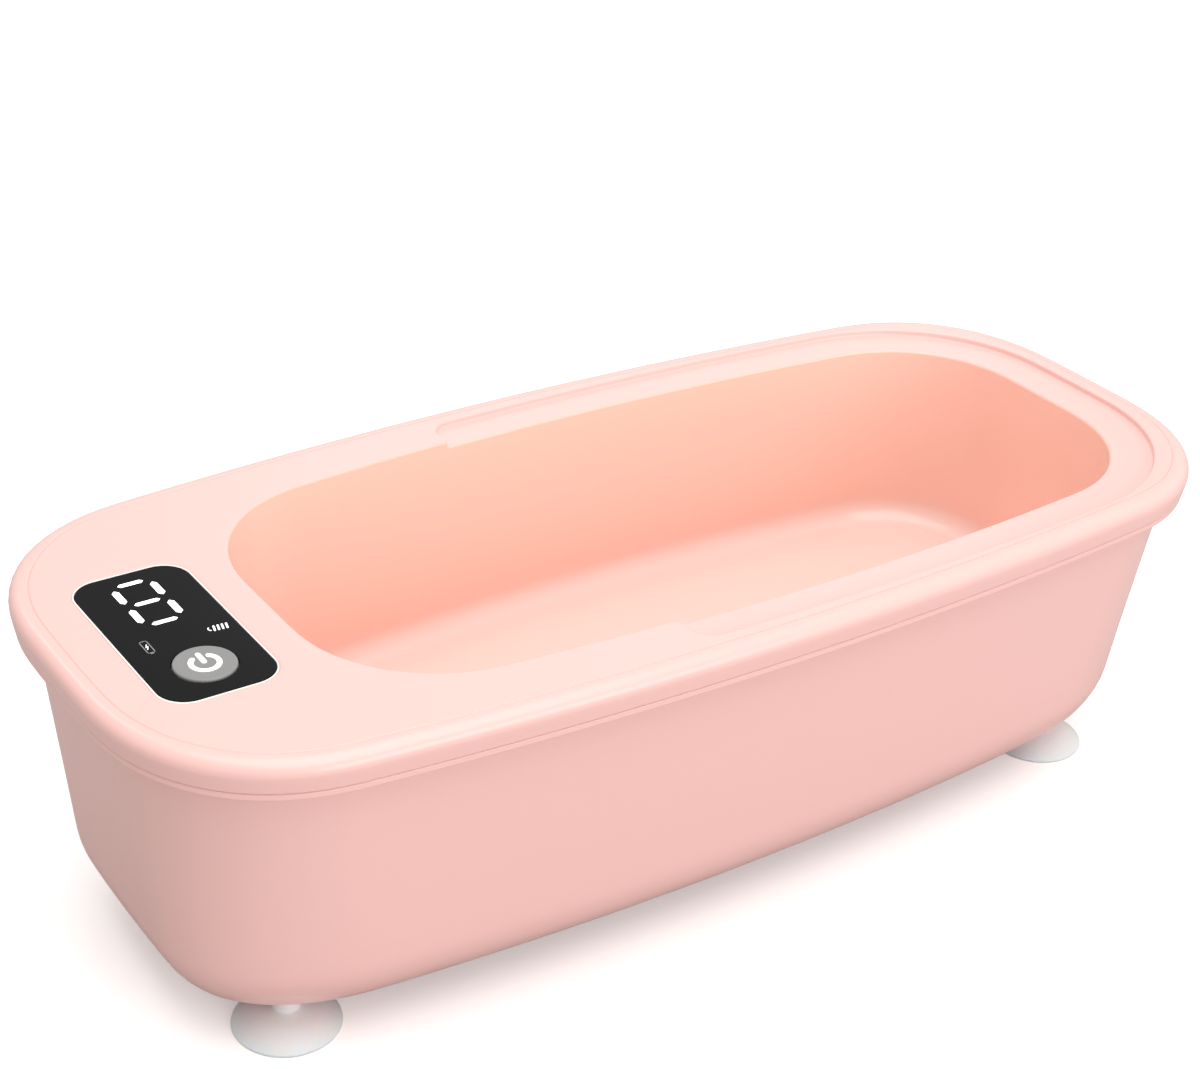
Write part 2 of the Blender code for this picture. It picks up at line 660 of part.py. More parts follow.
def make_rim_seal():
    """A silicone ring between the housing's tongue and the underside of the deck."""
    low = HOUSING_TOP + TONGUE_HEIGHT + GAP
    outer = RIM.inset(SKIRT_WALL + 2 * GAP)
    bm = bmesh.new()
    rings = [
        outer.ring(low),
        outer.ring(low + SEAL_HEIGHT),
        outer.inset(SEAL_WIDTH).ring(low + SEAL_HEIGHT),
        outer.inset(SEAL_WIDTH).ring(low),
    ]
    made = [[bm.verts.new(p) for p in ring] for ring in rings]
    for near, far in zip(made, made[1:] + made[:1]):
        for i, vert in enumerate(near):
            j = (i + 1) % len(near)
            bm.faces.new((vert, near[j], far[j], far[i]))
    finish("rim_seal", bm, SILICONE)


# ---------------------------------------------------------------- control panel


def make_control_panel():
    outline = rounded_rectangle(PANEL_X, 0, LENS_WIDTH, LENS_LENGTH, LENS_CORNER)
    lens = prism("display_lens", [(outline, LENS_UNDERSIDE, DECK_HEIGHT)], BLACK)
    hole = circle(PANEL_X, -BUTTON_FROM_MIDDLE, BUTTON_RADIUS + GAP)
    combine(lens, prism("button_hole_cut", [(hole, LENS_UNDERSIDE - 1, DECK_HEIGHT + 1)], None), "DIFFERENCE")

    half = DISPLAY_WIDTH / 2
    near = DIGIT_MIDDLE - DISPLAY_LENGTH / 2
    display_low = (PANEL_X - half, near, CONTROL_BOARD_TOP + GAP)
    block("display_module", display_low, (PANEL_X + half, near + DISPLAY_LENGTH, DISPLAY_TOP), 0.6, WHITE)
    guide_far = near - GAP
    guide_near = guide_far - ICON_GUIDE_LENGTH
    guide_half = ICON_GUIDE_WIDTH / 2
    guide_low = (PANEL_X - guide_half, guide_near, DISPLAY_TOP - ICON_GUIDE_HEIGHT)
    block("icon_light_guide", guide_low, (PANEL_X + guide_half, guide_far, DISPLAY_TOP), 0.6, WHITE)
    middle = (guide_near + guide_far) / 2
    led_low = CONTROL_BOARD_TOP + GAP
    for k, side in enumerate((-1, 1)):
        x = PANEL_X + side * ICON_LED_FROM_MIDDLE
        high = (x + 1.0, middle + 0.6, led_low + ICON_LED_HEIGHT)
        block(f"icon_led_{k + 1}", (x - 1.0, middle - 0.6, led_low), high, 0.1, WHITE)

    half_x, half_y = CONTROL_BOARD_WIDTH / 2, CONTROL_BOARD_LENGTH / 2
    board_low = (PANEL_X - half_x, -half_y, CONTROL_BOARD_TOP - BOARD_THICK)
    board_high = (PANEL_X + half_x, half_y, CONTROL_BOARD_TOP)
    board = block("control_board", board_low, board_high, 2.5, BOARD)
    holes = [
        (circle(x, y, SMALL_SHANK_RADIUS + GAP, 8), CONTROL_BOARD_TOP - 4, CONTROL_BOARD_TOP + 1)
        for x, y in control_screw_places()
    ]
    combine(board, prism("control_board_hole_cut", holes, None), "DIFFERENCE")
    seat = CONTROL_BOARD_TOP - BOARD_THICK - GAP
    tip = CONTROL_BOARD_TOP + SMALL_SCREW_BITE
    profile = [
        (0.6 * SMALL_HEAD_RADIUS, seat - SMALL_HEAD_HEIGHT),
        (SMALL_HEAD_RADIUS, seat - 0.6 * SMALL_HEAD_HEIGHT),
        (SMALL_HEAD_RADIUS, seat),
        (SMALL_SHANK_RADIUS, seat),
        (SMALL_SHANK_RADIUS, tip - SMALL_SCREW_TIP),
        (0.4 * SMALL_SHANK_RADIUS, tip),
    ]
    for k, place in enumerate(control_screw_places()):
        turned(f"control_board_screw_{k + 1}", profile, [place], STEEL, 10)

    x, half = PANEL_X + CONTROL_SOCKET_PLACE[0], CONTROL_SOCKET_SIDE / 2
    low = (x - half, CONTROL_SOCKET_PLACE[1] - half, seat - CONTROL_SOCKET_HEIGHT)
    high = (x + half, CONTROL_SOCKET_PLACE[1] + half, seat)
    block("control_cable_socket", low, high, 0.4, WHITE)


def make_power_key():
    """The key and the switch plunger travel down together."""
    centre = (PANEL_X, -BUTTON_FROM_MIDDLE)
    top = DECK_HEIGHT + BUTTON_PROUD
    flange_top = LENS_UNDERSIDE - GAP
    switch_low = CONTROL_BOARD_TOP + GAP
    switch_top = switch_low + SWITCH_HEIGHT
    plunger_low = switch_low + 1.2
    plunger_top = plunger_low + PLUNGER_HEIGHT + 1.6
    key = [
        (BUTTON_STEM_RADIUS, plunger_top + GAP),
        (BUTTON_STEM_RADIUS, flange_top - BUTTON_FLANGE_THICK),
        (BUTTON_RADIUS + BUTTON_FLANGE, flange_top - BUTTON_FLANGE_THICK),
        (BUTTON_RADIUS + BUTTON_FLANGE, flange_top),
        (BUTTON_RADIUS, flange_top),
        (BUTTON_RADIUS, top - 0.3),
        (BUTTON_RADIUS - 0.3, top),
    ]
    slide = axis_empty("power_key_slide", (*centre, DECK_HEIGHT))
    origin = (*centre, DECK_HEIGHT)
    hang_on(turned("power_button", key, [centre], GREY, ROUND_STEPS, origin), slide)
    plunger = [(PLUNGER_RADIUS, plunger_low), (PLUNGER_RADIUS, plunger_top)]
    hang_on(turned("switch_plunger", plunger, [centre], DARK, SMALL_ROUND_STEPS, origin), slide)

    half = SWITCH_SIDE / 2
    low = (centre[0] - half, centre[1] - half, switch_low)
    switch = block("switch_body", low, (centre[0] + half, centre[1] + half, switch_top), 0.4, DARK)
    well = circle(*centre, PLUNGER_RADIUS + GAP, SMALL_ROUND_STEPS)
    well_floor = plunger_low - BUTTON_TRAVEL - GAP
    combine(switch, prism("switch_well_cut", [(well, well_floor, switch_top + 1)], None), "DIFFERENCE")


# ---------------------------------------------------------------- power and transducer


def make_battery():
    start = SCREW_XS[0] + POST_RADIUS + BATTERY_GAP
    half = BATTERY_WIDTH / 2
    pad_low = HOUSING_FLOOR + GAP
    low = pad_low + BATTERY_PAD_THICK + GAP
    inset = BATTERY_PAD_INSET
    pad_high = (start + BATTERY_LENGTH - inset, half - inset, pad_low + BATTERY_PAD_THICK)
    block("battery_pad", (start + inset, inset - half, pad_low), pad_high, 1.0, FOAM)
    rings = []
    for side, height in ((1.6, 0.0), (0.4, 1.2), (0.0, 3.0), (0.0, -3.0), (0.4, -1.2), (1.6, 0.0)):
        z = low + height if len(rings) < 3 else low + BATTERY_THICK + height
        length, width = BATTERY_LENGTH - 2 * side, BATTERY_WIDTH - 2 * side
        outline = rounded_rectangle(start + BATTERY_LENGTH / 2, 0, length, width, 3.0 - side, 3)
        rings.append([Vector((x, y, z)) for x, y in outline])
    loft("battery_cell", rings, FOIL)
    return start + BATTERY_LENGTH, low + BATTERY_THICK / 2


def make_transducer():
    centre = [(TANK_MIDDLE, 0.0)]
    plate_top = TANK_UNDERSIDE - GAP
    plate_low = plate_top - PLATE_THICK
    plate = [(PLATE_RADIUS, plate_low), (PLATE_RADIUS, plate_top)]
    turned("transducer_plate", plate, centre, STEEL, ROUND_STEPS + 4)
    piezo_top = plate_low - GAP
    piezo_low = piezo_top - PIEZO_THICK
    disc = [(PIEZO_RADIUS, piezo_low), (PIEZO_RADIUS, piezo_top)]
    turned("piezo_disc", disc, centre, CERAMIC, ROUND_STEPS + 4)
    return piezo_low


def on_board(place):
    """X and Y of a place given from the driver board's middle along X and from its front edge along Y."""
    return DRIVER_BOARD_X + place[0], driver_board_rear() - DRIVER_BOARD_LENGTH + place[1]


def component(name, place, size, radius, finish_material):
    """A block standing on the driver board."""
    x, y = on_board(place)
    low = (x - size[0] / 2, y - size[1] / 2, DRIVER_BOARD_TOP + GAP)
    high = (x + size[0] / 2, y + size[1] / 2, low[2] + size[2])
    return block(name, low, high, radius, finish_material)


def make_driver_board():
    rear = driver_board_rear()
    front = rear - DRIVER_BOARD_LENGTH
    left = DRIVER_BOARD_END - DRIVER_BOARD_WIDTH
    underside = DRIVER_BOARD_TOP - BOARD_THICK
    high = (DRIVER_BOARD_END, rear, DRIVER_BOARD_TOP)
    board = block("driver_board", (left, front, underside), high, 1.5, BOARD)
    bore = SMALL_SHANK_RADIUS + GAP
    holes = [(circle(x, y, bore, 8), underside - 1, DRIVER_BOARD_TOP + 1) for x, y in standoff_places()]
    combine(board, prism("driver_board_hole_cut", holes, None), "DIFFERENCE")
    seat = DRIVER_BOARD_TOP + GAP
    tip = underside - SMALL_SCREW_BITE
    profile = [
        (0.4 * SMALL_SHANK_RADIUS, tip),
        (SMALL_SHANK_RADIUS, tip + SMALL_SCREW_TIP),
        (SMALL_SHANK_RADIUS, seat),
        (SMALL_HEAD_RADIUS, seat),
        (SMALL_HEAD_RADIUS, seat + 0.6 * SMALL_HEAD_HEIGHT),
        (0.6 * SMALL_HEAD_RADIUS, seat + SMALL_HEAD_HEIGHT),
    ]
    for k, place in enumerate(standoff_places()):
        turned(f"driver_board_screw_{k + 1}", profile, [place], STEEL, 10)

    x, y = on_board(TRANSFORMER_PLACE)
    core_x, core_y, core_z = TRANSFORMER_SIZE
    core = component("transformer_core", TRANSFORMER_PLACE, TRANSFORMER_SIZE, 0.5, FERRITE)
    window_low, window_high = seat + TRANSFORMER_YOKE, seat + core_z - TRANSFORMER_YOKE
    window = rounded_rectangle(x, y, core_x + 2.0, WINDING_WIDTH + 2 * GAP, 0.5, 1)
    combine(core, prism("core_window_cut", [(window, window_low, window_high)], None), "DIFFERENCE")
    winding = rounded_rectangle(x, y, core_x + 3.0, WINDING_WIDTH, 2.0, 3)
    prism("transformer_winding", [(winding, window_low + GAP, window_high - GAP)], COPPER)

    flange, waist = CHOKE_RADIUS, CHOKE_RADIUS - 0.7
    heights = (0.0, 1.0, 1.4, CHOKE_HEIGHT - 1.4, CHOKE_HEIGHT - 1.0, CHOKE_HEIGHT)
    radii = (flange, flange, waist, waist, flange, flange)
    bobbin = [(radius, seat + height) for radius, height in zip(radii, heights)]
    turned("choke", bobbin, [on_board(CHOKE_PLACE)], FERRITE, 16)
    radius, top = STORAGE_CAPACITOR_RADIUS, seat + STORAGE_CAPACITOR_HEIGHT
    can = [(radius, seat), (radius, top - 0.4), (radius - 0.3, top)]
    turned("storage_capacitor", can, [on_board(STORAGE_CAPACITOR_PLACE)], DARK, 14)
    component("film_capacitor", FILM_CAPACITOR_PLACE, FILM_CAPACITOR_SIZE, 0.5, RED)
    component("power_transistor", TRANSISTOR_PLACE, TRANSISTOR_SIZE, 0.3, DARK)
    component("control_chip", CHIP_PLACE, CHIP_SIZE, 0.2, DARK)

    sockets = {}
    for name, width, from_front in BOARD_SOCKETS:
        place = (BOARD_SOCKET_X, from_front)
        component(name, place, (BOARD_SOCKET_DEPTH, width, BOARD_SOCKET_HEIGHT), 0.4, WHITE)
        x, y = on_board(place)
        sockets[name] = Vector((x - BOARD_SOCKET_DEPTH / 2 - GAP, y, seat + BOARD_SOCKET_ENTRY))
    return sockets


def make_charging_socket():
    """A pill-shaped metal shell round a contact tongue, open to the side."""
    front = cover_face() - COVER_THICK - 2 * GAP
    low = SOCKET_Z - SOCKET_HEIGHT / 2
    half_width = SOCKET_WIDTH / 2
    shell = block(
        "charging_socket",
        (DRIVER_BOARD_X - half_width, front - SOCKET_DEPTH, low),
        (DRIVER_BOARD_X + half_width, front, low + SOCKET_HEIGHT),
        0.1,
        STEEL,
    )
    cavity_half = half_width - SOCKET_SHELL
    tongue = SOCKET_TONGUE / 2
    inner = rounded_rectangle(DRIVER_BOARD_X, front, 2 * cavity_half, 2 * (SOCKET_DEPTH - 1.2), 0.1, 1)
    above = (inner, SOCKET_Z + tongue, low + SOCKET_HEIGHT - SOCKET_SHELL)
    below = (inner, low + SOCKET_SHELL, SOCKET_Z - tongue)
    combine(shell, prism("socket_cavity_cut", [above, below], None), "DIFFERENCE")


def make_port_cover():
    """A silicone flap that swings out about the upright edge nearest the panel."""
    face = cover_face()
    radius = COVER_THICK / 2
    hinge_x = DRIVER_BOARD_X - COVER_WIDTH / 2 + radius
    hinge = (hinge_x, face - radius, SOCKET_Z)
    far_x = DRIVER_BOARD_X + COVER_WIDTH / 2
    arc = [math.pi / 2 + math.pi * i / 8 for i in range(9)]
    outline = [(hinge_x + radius * math.cos(a), face - radius + radius * math.sin(a)) for a in arc]
    outline += [(far_x - 0.4, face - COVER_THICK), (far_x, face - COVER_THICK + 0.4), (far_x, face - 0.4)]
    outline += [(far_x - 0.4, face)]
    half = COVER_HEIGHT / 2
    cover = prism("charging_port_cover", [(outline, SOCKET_Z - half, SOCKET_Z + half)], SILICONE, hinge)
    hang_on(cover, axis_empty("port_cover_hinge", hinge))


def make_leads(sockets, battery_end, battery_z, piezo_low):
    along = Vector((1, 0, 0))
    for side, name, finish_material in ((1, "positive", RED), (-1, "negative", DARK)):
        start = Vector((battery_end + GAP, side * LEAD_SPACING, battery_z))
        end = sockets["battery_socket"] + Vector((0, side * LEAD_SPACING, 0))
        reach = along * (end.x - start.x) / 2
        lead(f"battery_lead_{name}", sweep(start, reach, end, reach), LEAD_RADIUS, finish_material)
    for side, name, finish_material in ((1, "centre", RED), (-1, "edge", BLUE)):
        start_y = LEAD_SPACING if side > 0 else 0.7 * -PIEZO_RADIUS
        start = Vector((TANK_MIDDLE + 2.0, start_y, piezo_low - GAP))
        end = sockets["transducer_socket"] + Vector((0, side * LEAD_SPACING, 0))
        down = Vector((0, 0, -LEAD_RADIUS))
        points = [start, *sweep(start + down, down, end, along * (end.x - start.x) / 2)]
        lead(f"transducer_lead_{name}", points, LEAD_RADIUS, finish_material)
    socket_low = CONTROL_BOARD_TOP - BOARD_THICK - GAP - CONTROL_SOCKET_HEIGHT
    start = Vector((PANEL_X + CONTROL_SOCKET_PLACE[0], CONTROL_SOCKET_PLACE[1], socket_low - GAP))
    run_y = HOUSING_WALL + CABLE_FROM_WALL - HOUSING_LOWER.side(SCREW_XS[0])
    run_z = HOUSING_FLOOR + CABLE_RADIUS + CABLE_CLEAR
    down_x = SCREW_XS[0] - POST_RADIUS - 9.0
    end = sockets["panel_cable_socket"]
    route = [
        start,
        start + Vector((0, 0, -6)),
        Vector((down_x, -14.0, TANK_UNDERSIDE + 4)),
        Vector((down_x + 4, run_y + 5, run_z + 6)),
        Vector((SCREW_XS[0] + 2, run_y, run_z)),
        Vector(((SCREW_XS[0] + end.x) / 2, run_y, run_z)),
        Vector((end.x - 18, run_y + 3, run_z + 2)),
        Vector((end.x - 6, end.y - 1.5, end.z - 1)),
        end,
    ]
    lead("panel_cable", through(route), CABLE_RADIUS, DARK)


# ---------------------------------------------------------------- feet and screws


def make_feet():
    neck = FOOT_STEM_RADIUS
    dome = FOOT_LIP - GAP
    inside = dome - FOOT_WALL
    bulb = HOUSING_FLOOR + FOOT_PAD_HEIGHT + GAP
    profile = [
        (0.5, inside),
        (0.45 * FOOT_RADIUS, 0.7 * inside),
        (FOOT_RADIUS - 1.0, 0.0),
        (FOOT_RADIUS, 0.0),
        (FOOT_RADIUS - 0.1, 0.5),
        (0.8 * FOOT_RADIUS, 0.5 * dome),
        (0.5 * FOOT_RADIUS, 0.82 * dome),
        (neck, dome),
        (neck, bulb),
        (neck + 0.9, bulb),
        (neck + 0.7, bulb + 1.0),
        (0.6, bulb + 2.2),
    ]
    names = ("panel_front", "panel_rear", "tank_front", "tank_rear")
    for name, place in zip(names, foot_places()):
        turned(f"suction_foot_{name}", profile, [place], SILICONE, ROUND_STEPS - 4)


def make_housing_screws():
    seat = FOOT_LIP + SCREW_HEAD_HEIGHT + SCREW_SUNK - GAP
    tip = HOUSING_FLOOR + POST_HEIGHT + SCREW_BITE - GAP
    profile = [
        (0.7 * SCREW_HEAD_RADIUS, seat - SCREW_HEAD_HEIGHT),
        (SCREW_HEAD_RADIUS, seat - 0.6 * SCREW_HEAD_HEIGHT),
        (SCREW_HEAD_RADIUS, seat),
        (SCREW_SHANK_RADIUS, seat),
        (SCREW_SHANK_RADIUS, tip - 1.2),
        (0.3 * SCREW_SHANK_RADIUS, tip),
    ]
    names = ("panel_rear", "panel_front", "tank_rear", "tank_front")
    for name, place in zip(names, screw_places()):
        turned(f"housing_screw_{name}", profile, [place], STEEL)


make_top_cover()
make_lower_housing()
make_rim_seal()
make_control_panel()
make_power_key()
battery_end, battery_z = make_battery()
piezo_low = make_transducer()
sockets = make_driver_board()
make_charging_socket()
make_port_cover()
make_leads(sockets, battery_end, battery_z, piezo_low)
make_feet()
make_housing_screws()
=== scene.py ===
"""Looks of a rechargeable ultrasonic cleaner: shells, display, key, feet, charging port, screws and finishes.

The pieces are built round the packed frame and ride on its bodies. The file is laid out as an add-on: each
operator makes one piece or group of like pieces, and the panel in the 3D view's sidebar lists them. Lengths
are in metres, and sizes are given in millimetres times MM. +X points to the tank end, and -X to the panel.
"""

import math
from dataclasses import dataclass, replace

import bmesh
import bpy
from mathutils import Matrix, Vector


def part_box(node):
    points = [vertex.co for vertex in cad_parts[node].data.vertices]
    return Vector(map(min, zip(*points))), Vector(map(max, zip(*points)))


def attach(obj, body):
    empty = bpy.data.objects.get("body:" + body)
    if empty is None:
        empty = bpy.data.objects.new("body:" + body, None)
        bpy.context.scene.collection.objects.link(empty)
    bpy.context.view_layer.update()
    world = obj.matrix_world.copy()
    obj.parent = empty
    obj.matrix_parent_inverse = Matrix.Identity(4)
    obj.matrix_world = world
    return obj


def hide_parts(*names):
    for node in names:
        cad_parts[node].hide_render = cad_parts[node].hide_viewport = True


bl_info = {
    "name": "Ultrasonic cleaner",
    "version": (1, 0, 0),
    "blender": (4, 5, 0),
    "location": "View3D > Sidebar > Cleaner",
    "description": "Builds the shells, display, key, feet, port and finishes of an ultrasonic cleaner",
    "category": "Object",
}

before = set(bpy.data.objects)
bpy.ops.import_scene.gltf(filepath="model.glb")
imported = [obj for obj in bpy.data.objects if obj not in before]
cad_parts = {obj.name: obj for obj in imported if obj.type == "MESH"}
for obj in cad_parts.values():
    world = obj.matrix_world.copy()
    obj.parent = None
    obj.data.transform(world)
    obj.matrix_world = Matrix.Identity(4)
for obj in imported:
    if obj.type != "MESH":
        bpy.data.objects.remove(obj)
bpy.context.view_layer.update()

MM = 0.001
BODY, KEY, FLAP = "cleaner_body", "power_key", "port_cover"
CORNERS = ("panel_front", "panel_rear", "tank_front", "tank_rear")
COVER_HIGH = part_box("top_cover")[1]
HOUSING_LOW, HOUSING_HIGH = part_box("lower_housing")
LENS_LOW, LENS_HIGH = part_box("display_lens")
KEY_LOW, KEY_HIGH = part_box("power_button")
FLAP_LOW, FLAP_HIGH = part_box("charging_port_cover")
SOCKET_LOW, SOCKET_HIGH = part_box("charging_socket")
SEAL_LOW, SEAL_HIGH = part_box("rim_seal")
DECK = COVER_HIGH.z
PARTING = DECK - 5.2 * MM
PANEL_X = (LENS_LOW.x + LENS_HIGH.x) / 2
KEY_CENTRE = ((KEY_LOW.x + KEY_HIGH.x) / 2, (KEY_LOW.y + KEY_HIGH.y) / 2)
GAP = 0.3 * MM
PROUD = 0.01 * MM
QUARTER = math.pi / 2
FULL = 4 * QUARTER


def middle_of(node):
    """The middle of a CAD node, seen from above."""
    low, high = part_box(node)
    return (low.x + high.x) / 2, (low.y + high.y) / 2


# ---------------------------------------------------------------- properties


def size(name, millimetres, description):
    """A length, given in millimetres and kept in metres."""
    return bpy.props.FloatProperty(
        name=name,
        description=description,
        default=millimetres * MM,
        precision=5,
        unit="LENGTH",
        subtype="DISTANCE",
    )


def tint(name, value, description):
    return bpy.props.FloatVectorProperty(
        name=name, description=description, default=value, min=0.0, max=1.0, size=3, subtype="COLOR"
    )


def amount(name, value, description):
    return bpy.props.FloatProperty(
        name=name, description=description, default=value, min=0.0, subtype="FACTOR"
    )


def watts(name, value, description):
    return bpy.props.FloatProperty(name=name, description=description, default=value, min=0.0, unit="POWER")


def angle(name, degrees, description):
    return bpy.props.FloatProperty(
        name=name, description=description, default=math.radians(degrees), unit="ROTATION", subtype="ANGLE"
    )


class CleanerShellSizes(bpy.types.PropertyGroup):
    """Outline of the rim, the mouth and the tank, and the section of the rim."""

    side_bow: size("Side bow", 7.4, "How far the rim's long sides bow outwards")
    end_bow: size("End bow", 1.25, "How far the rim's ends bow outwards")
    corner_x: size("Corner length", 29.0, "Length of the rim's corners along the cleaner")
    corner_y: size("Corner width", 31.2, "Width of the rim's corners across the cleaner")
    shoulder: size("Shoulder", 2.75, "Width of the rounded shoulder round the deck")
    groove: size("Deck groove", 0.18, "Depth of the fine groove between the deck and the shoulder")
    tuck: size("Tuck", 0.35, "How far the skirt's lower edge turns in")
    skirt: size("Skirt wall", 2.3, "Thickness of the skirt")
    deck_wall: size("Deck wall", 2.4, "Thickness of the deck")
    tank_wall: size("Tank wall", 2.0, "Thickness of the tank's wall and floor")
    tank_depth: size("Tank depth", 36.5, "From the deck down to the tank's floor")
    tank_draft: size("Tank draft", 3.1, "Taper of the tank's wall")
    tank_fillet: size("Tank fillet", 4.5, "Radius between the tank's wall and floor")
    mouth_x: size("Mouth from panel end", 34.8, "From the rim's end at the panel to the mouth")
    mouth_end: size("Mouth from tank end", 12.6, "From the rim's end at the tank to the mouth")
    mouth_side: size("Mouth from side", 9.85, "From the rim's side to the mouth")
    mouth_corner: size("Mouth corner", 23.0, "Radius of the mouth's corners")
    mouth_bow: size("Mouth bow", 5.5, "How far the mouth's long sides bow outwards")
    mouth_edge: size("Mouth edge", 0.5, "Radius of the mouth's edge")
    ledge_x: size("Ledge start", 87.3, "From the rim's end at the panel to the sunk ledge")
    ledge_width: size("Ledge width", 6.8, "Width of the ledge along the sides")
    ledge_end: size("Ledge end width", 7.9, "Width of the ledge at the tank end")
    ledge_depth: size("Ledge depth", 1.1, "How far the ledge lies below the deck")
    ledge_corner: size("Ledge corner", 4.0, "Radius of the ledge's two corners")
    colour: tint("Shell", (0.875, 0.545, 0.505), "Colour of the moulded shells")
    # Painted light: both tank colours are brighter than the shell's, for light thrown back inside the tank;
    # the wall's is a deeper peach, the floor's paler.
    tank_wall_bounce_colour: tint("Tank wall", (0.95, 0.575, 0.475), "Colour of the tank's glossier wall")
    tank_floor_bounce_colour: tint("Tank floor", (0.93, 0.66, 0.60), "Colour of the tank's floor")


class CleanerHousingSizes(bpy.types.PropertyGroup):
    """The tub under the rim."""

    wall: size("Wall", 2.2, "Thickness of the housing's wall")
    top_inset: size("Top inset", 3.4, "From the rim's edge to the top of the wall")
    side_inset: size("Side inset", 6.3, "From the rim's side to the foot of the wall")
    end_inset: size("End inset", 7.65, "From the rim's end to the foot of the wall")
    corner_x: size("Corner length", 30.4, "Length of the corners at the foot of the wall")
    corner_y: size("Corner width", 21.2, "Width of the corners at the foot of the wall")
    bow: size("Side bow", 6.1, "How far the sides bow outwards at the foot of the wall")
    fillet: size("Fillet", 15.8, "Radius between the wall and the underside")
    lip_inset: size("Lip inset", 0.6, "From the rim's edge to the lip under the parting line")
    lip: size("Lip", 1.0, "Height of the lip")
    tongue: size("Tongue", 1.5, "Height of the tongue that reaches into the top cover")
    parting: size("Parting", 0.17, "How far the lip closes the gap under the top cover")


class CleanerDisplaySizes(bpy.types.PropertyGroup):
    """The black window in the deck and what is shown on it."""

    corner: size("Corner", 4.7, "Radius of the window's corners")
    edge: size("Edge", 0.2, "Radius of the window's upper edge")
    # The pale bead is a painted highlight for the light caught by the rounded edge of the window's recess.
    rim: size("Rim", 0.36, "Width of the pale bead round the window")
    digit_y: size("Digit place", 9.6, "From the middle of the window to the middle of the digit")
    digit_height: size("Digit height", 13.0, "Between the middles of the top and bottom segments")
    digit_width: size("Digit width", 6.4, "Between the middles of the left and right segments")
    segment: size("Segment", 1.15, "Width of a segment")
    segment_gap: size("Segment gap", 1.05, "From a segment's tip to the corner of the digit")
    ink: size("Ink", 0.04, "How far the printed marks stand proud")
    glow: amount("Glow", 1.3, "Strength of the lit marks")
    window: tint("Window", (0.0085, 0.0085, 0.009), "Colour of the smoked window")
    lit: tint("Lit", (1.0, 0.99, 0.98), "Colour of the lit marks")


class CleanerKeySizes(bpy.types.PropertyGroup):
    """The power key, with its flange and stem under the window."""

    radius: size("Radius", 4.9, "Radius of the key's cap")
    flange: size("Flange", 0.8, "How far the flange stands out under the window")
    flange_thick: size("Flange thickness", 0.7, "Thickness of the flange")
    stem: size("Stem", 1.5, "Radius of the stem")
    dish: size("Dish", 0.12, "Depth of the hollow in the cap")
    symbol: size("Symbol", 2.15, "Radius of the power symbol's ring, at its middle")
    stroke: size("Stroke", 0.82, "Width of the power symbol's lines")
    gap: angle("Symbol gap", 38, "Half of the angle that the ring leaves open")
    colour: tint("Key", (0.25, 0.25, 0.25), "Colour of the key's cap")


class CleanerFootSizes(bpy.types.PropertyGroup):
    """Suction feet."""

    lip: size("Lip", 0.45, "Thickness of the cup's outer lip")
    wall: size("Wall", 1.1, "Thickness of the cup near its neck")
    neck: size("Neck", 2.3, "Radius of the neck")
    head: size("Head", 0.9, "How far the head inside the housing stands out from the neck")
    colour: tint("Silicone", (0.94, 0.86, 0.865), "Colour of the feet, the flap and the seal")


class CleanerPortSizes(bpy.types.PropertyGroup):
    """Charging socket and its flap."""

    edge: size("Flap edge", 0.35, "Radius of the flap's edges")
    grip: size("Grip", 0.3, "Height of the finger grip on the flap")
    shell: size("Shell", 0.35, "Thickness of the socket's metal shell")
    tongue: size("Tongue", 0.7, "Thickness of the contact tongue")
    contacts: bpy.props.IntProperty(
        name="Contacts", description="Contacts on each face", default=12, min=2, subtype="UNSIGNED"
    )


class CleanerScrewSizes(bpy.types.PropertyGroup):
    """Threads and cross recesses of the screws."""

    pitch: size("Pitch", 0.9, "Distance between turns of a housing screw's thread")
    thread: size("Thread", 0.28, "Depth of a housing screw's thread")
    recess: amount("Recess", 0.62, "Length of the cross recess, as a share of the head's width")


class CleanerStageSizes(bpy.types.PropertyGroup):
    """Floor, lights and camera."""

    floor: size("Floor", 6000.0, "Side of the pale floor")
    heading: angle("Heading", -35.0597, "The camera's heading, from the front towards the right")
    height: angle("Height", 28.7051, "How steeply the camera looks down")
    roll: angle("Roll", 2.8115, "The camera's roll")
    place: bpy.props.FloatVectorProperty(
        name="Place",
        description="Where the camera stands",
        default=(-0.20658, -0.28239, 0.24687),
        size=3,
        unit="LENGTH",
        subtype="TRANSLATION",
    )
    lens: bpy.props.FloatProperty(
        name="Lens", description="Focal length in mm", default=69.344, min=10.0, unit="CAMERA"
    )
    sky: amount("Sky", 0.75, "Strength of the pale surroundings")
    top_light: watts("Top light", 7.0, "Power of the large light above")
    front_light: watts("Front light", 5.0, "Power of the light at the front")
    back_light: watts("Back light", 0.8, "Power of the narrow light at the back")
    far_light: watts("Far light", 0.3, "Power of the light behind the tank end")
    end_light: watts("End light", 0.1, "Power of the light beyond the tank end")
    tone: tint("Floor tone", (0.97, 0.97, 0.97), "Colour of the floor")
    bounce: tint("Floor bounce", (0.45, 0.43, 0.425), "Colour of the light that the floor throws back")


SETTINGS = {
    "cleaner_shell": CleanerShellSizes,
    "cleaner_housing": CleanerHousingSizes,
    "cleaner_display": CleanerDisplaySizes,
    "cleaner_key": CleanerKeySizes,
    "cleaner_foot": CleanerFootSizes,
    "cleaner_port": CleanerPortSizes,
    "cleaner_screw": CleanerScrewSizes,
    "cleaner_stage": CleanerStageSizes,
}


# ---------------------------------------------------------------- outlines


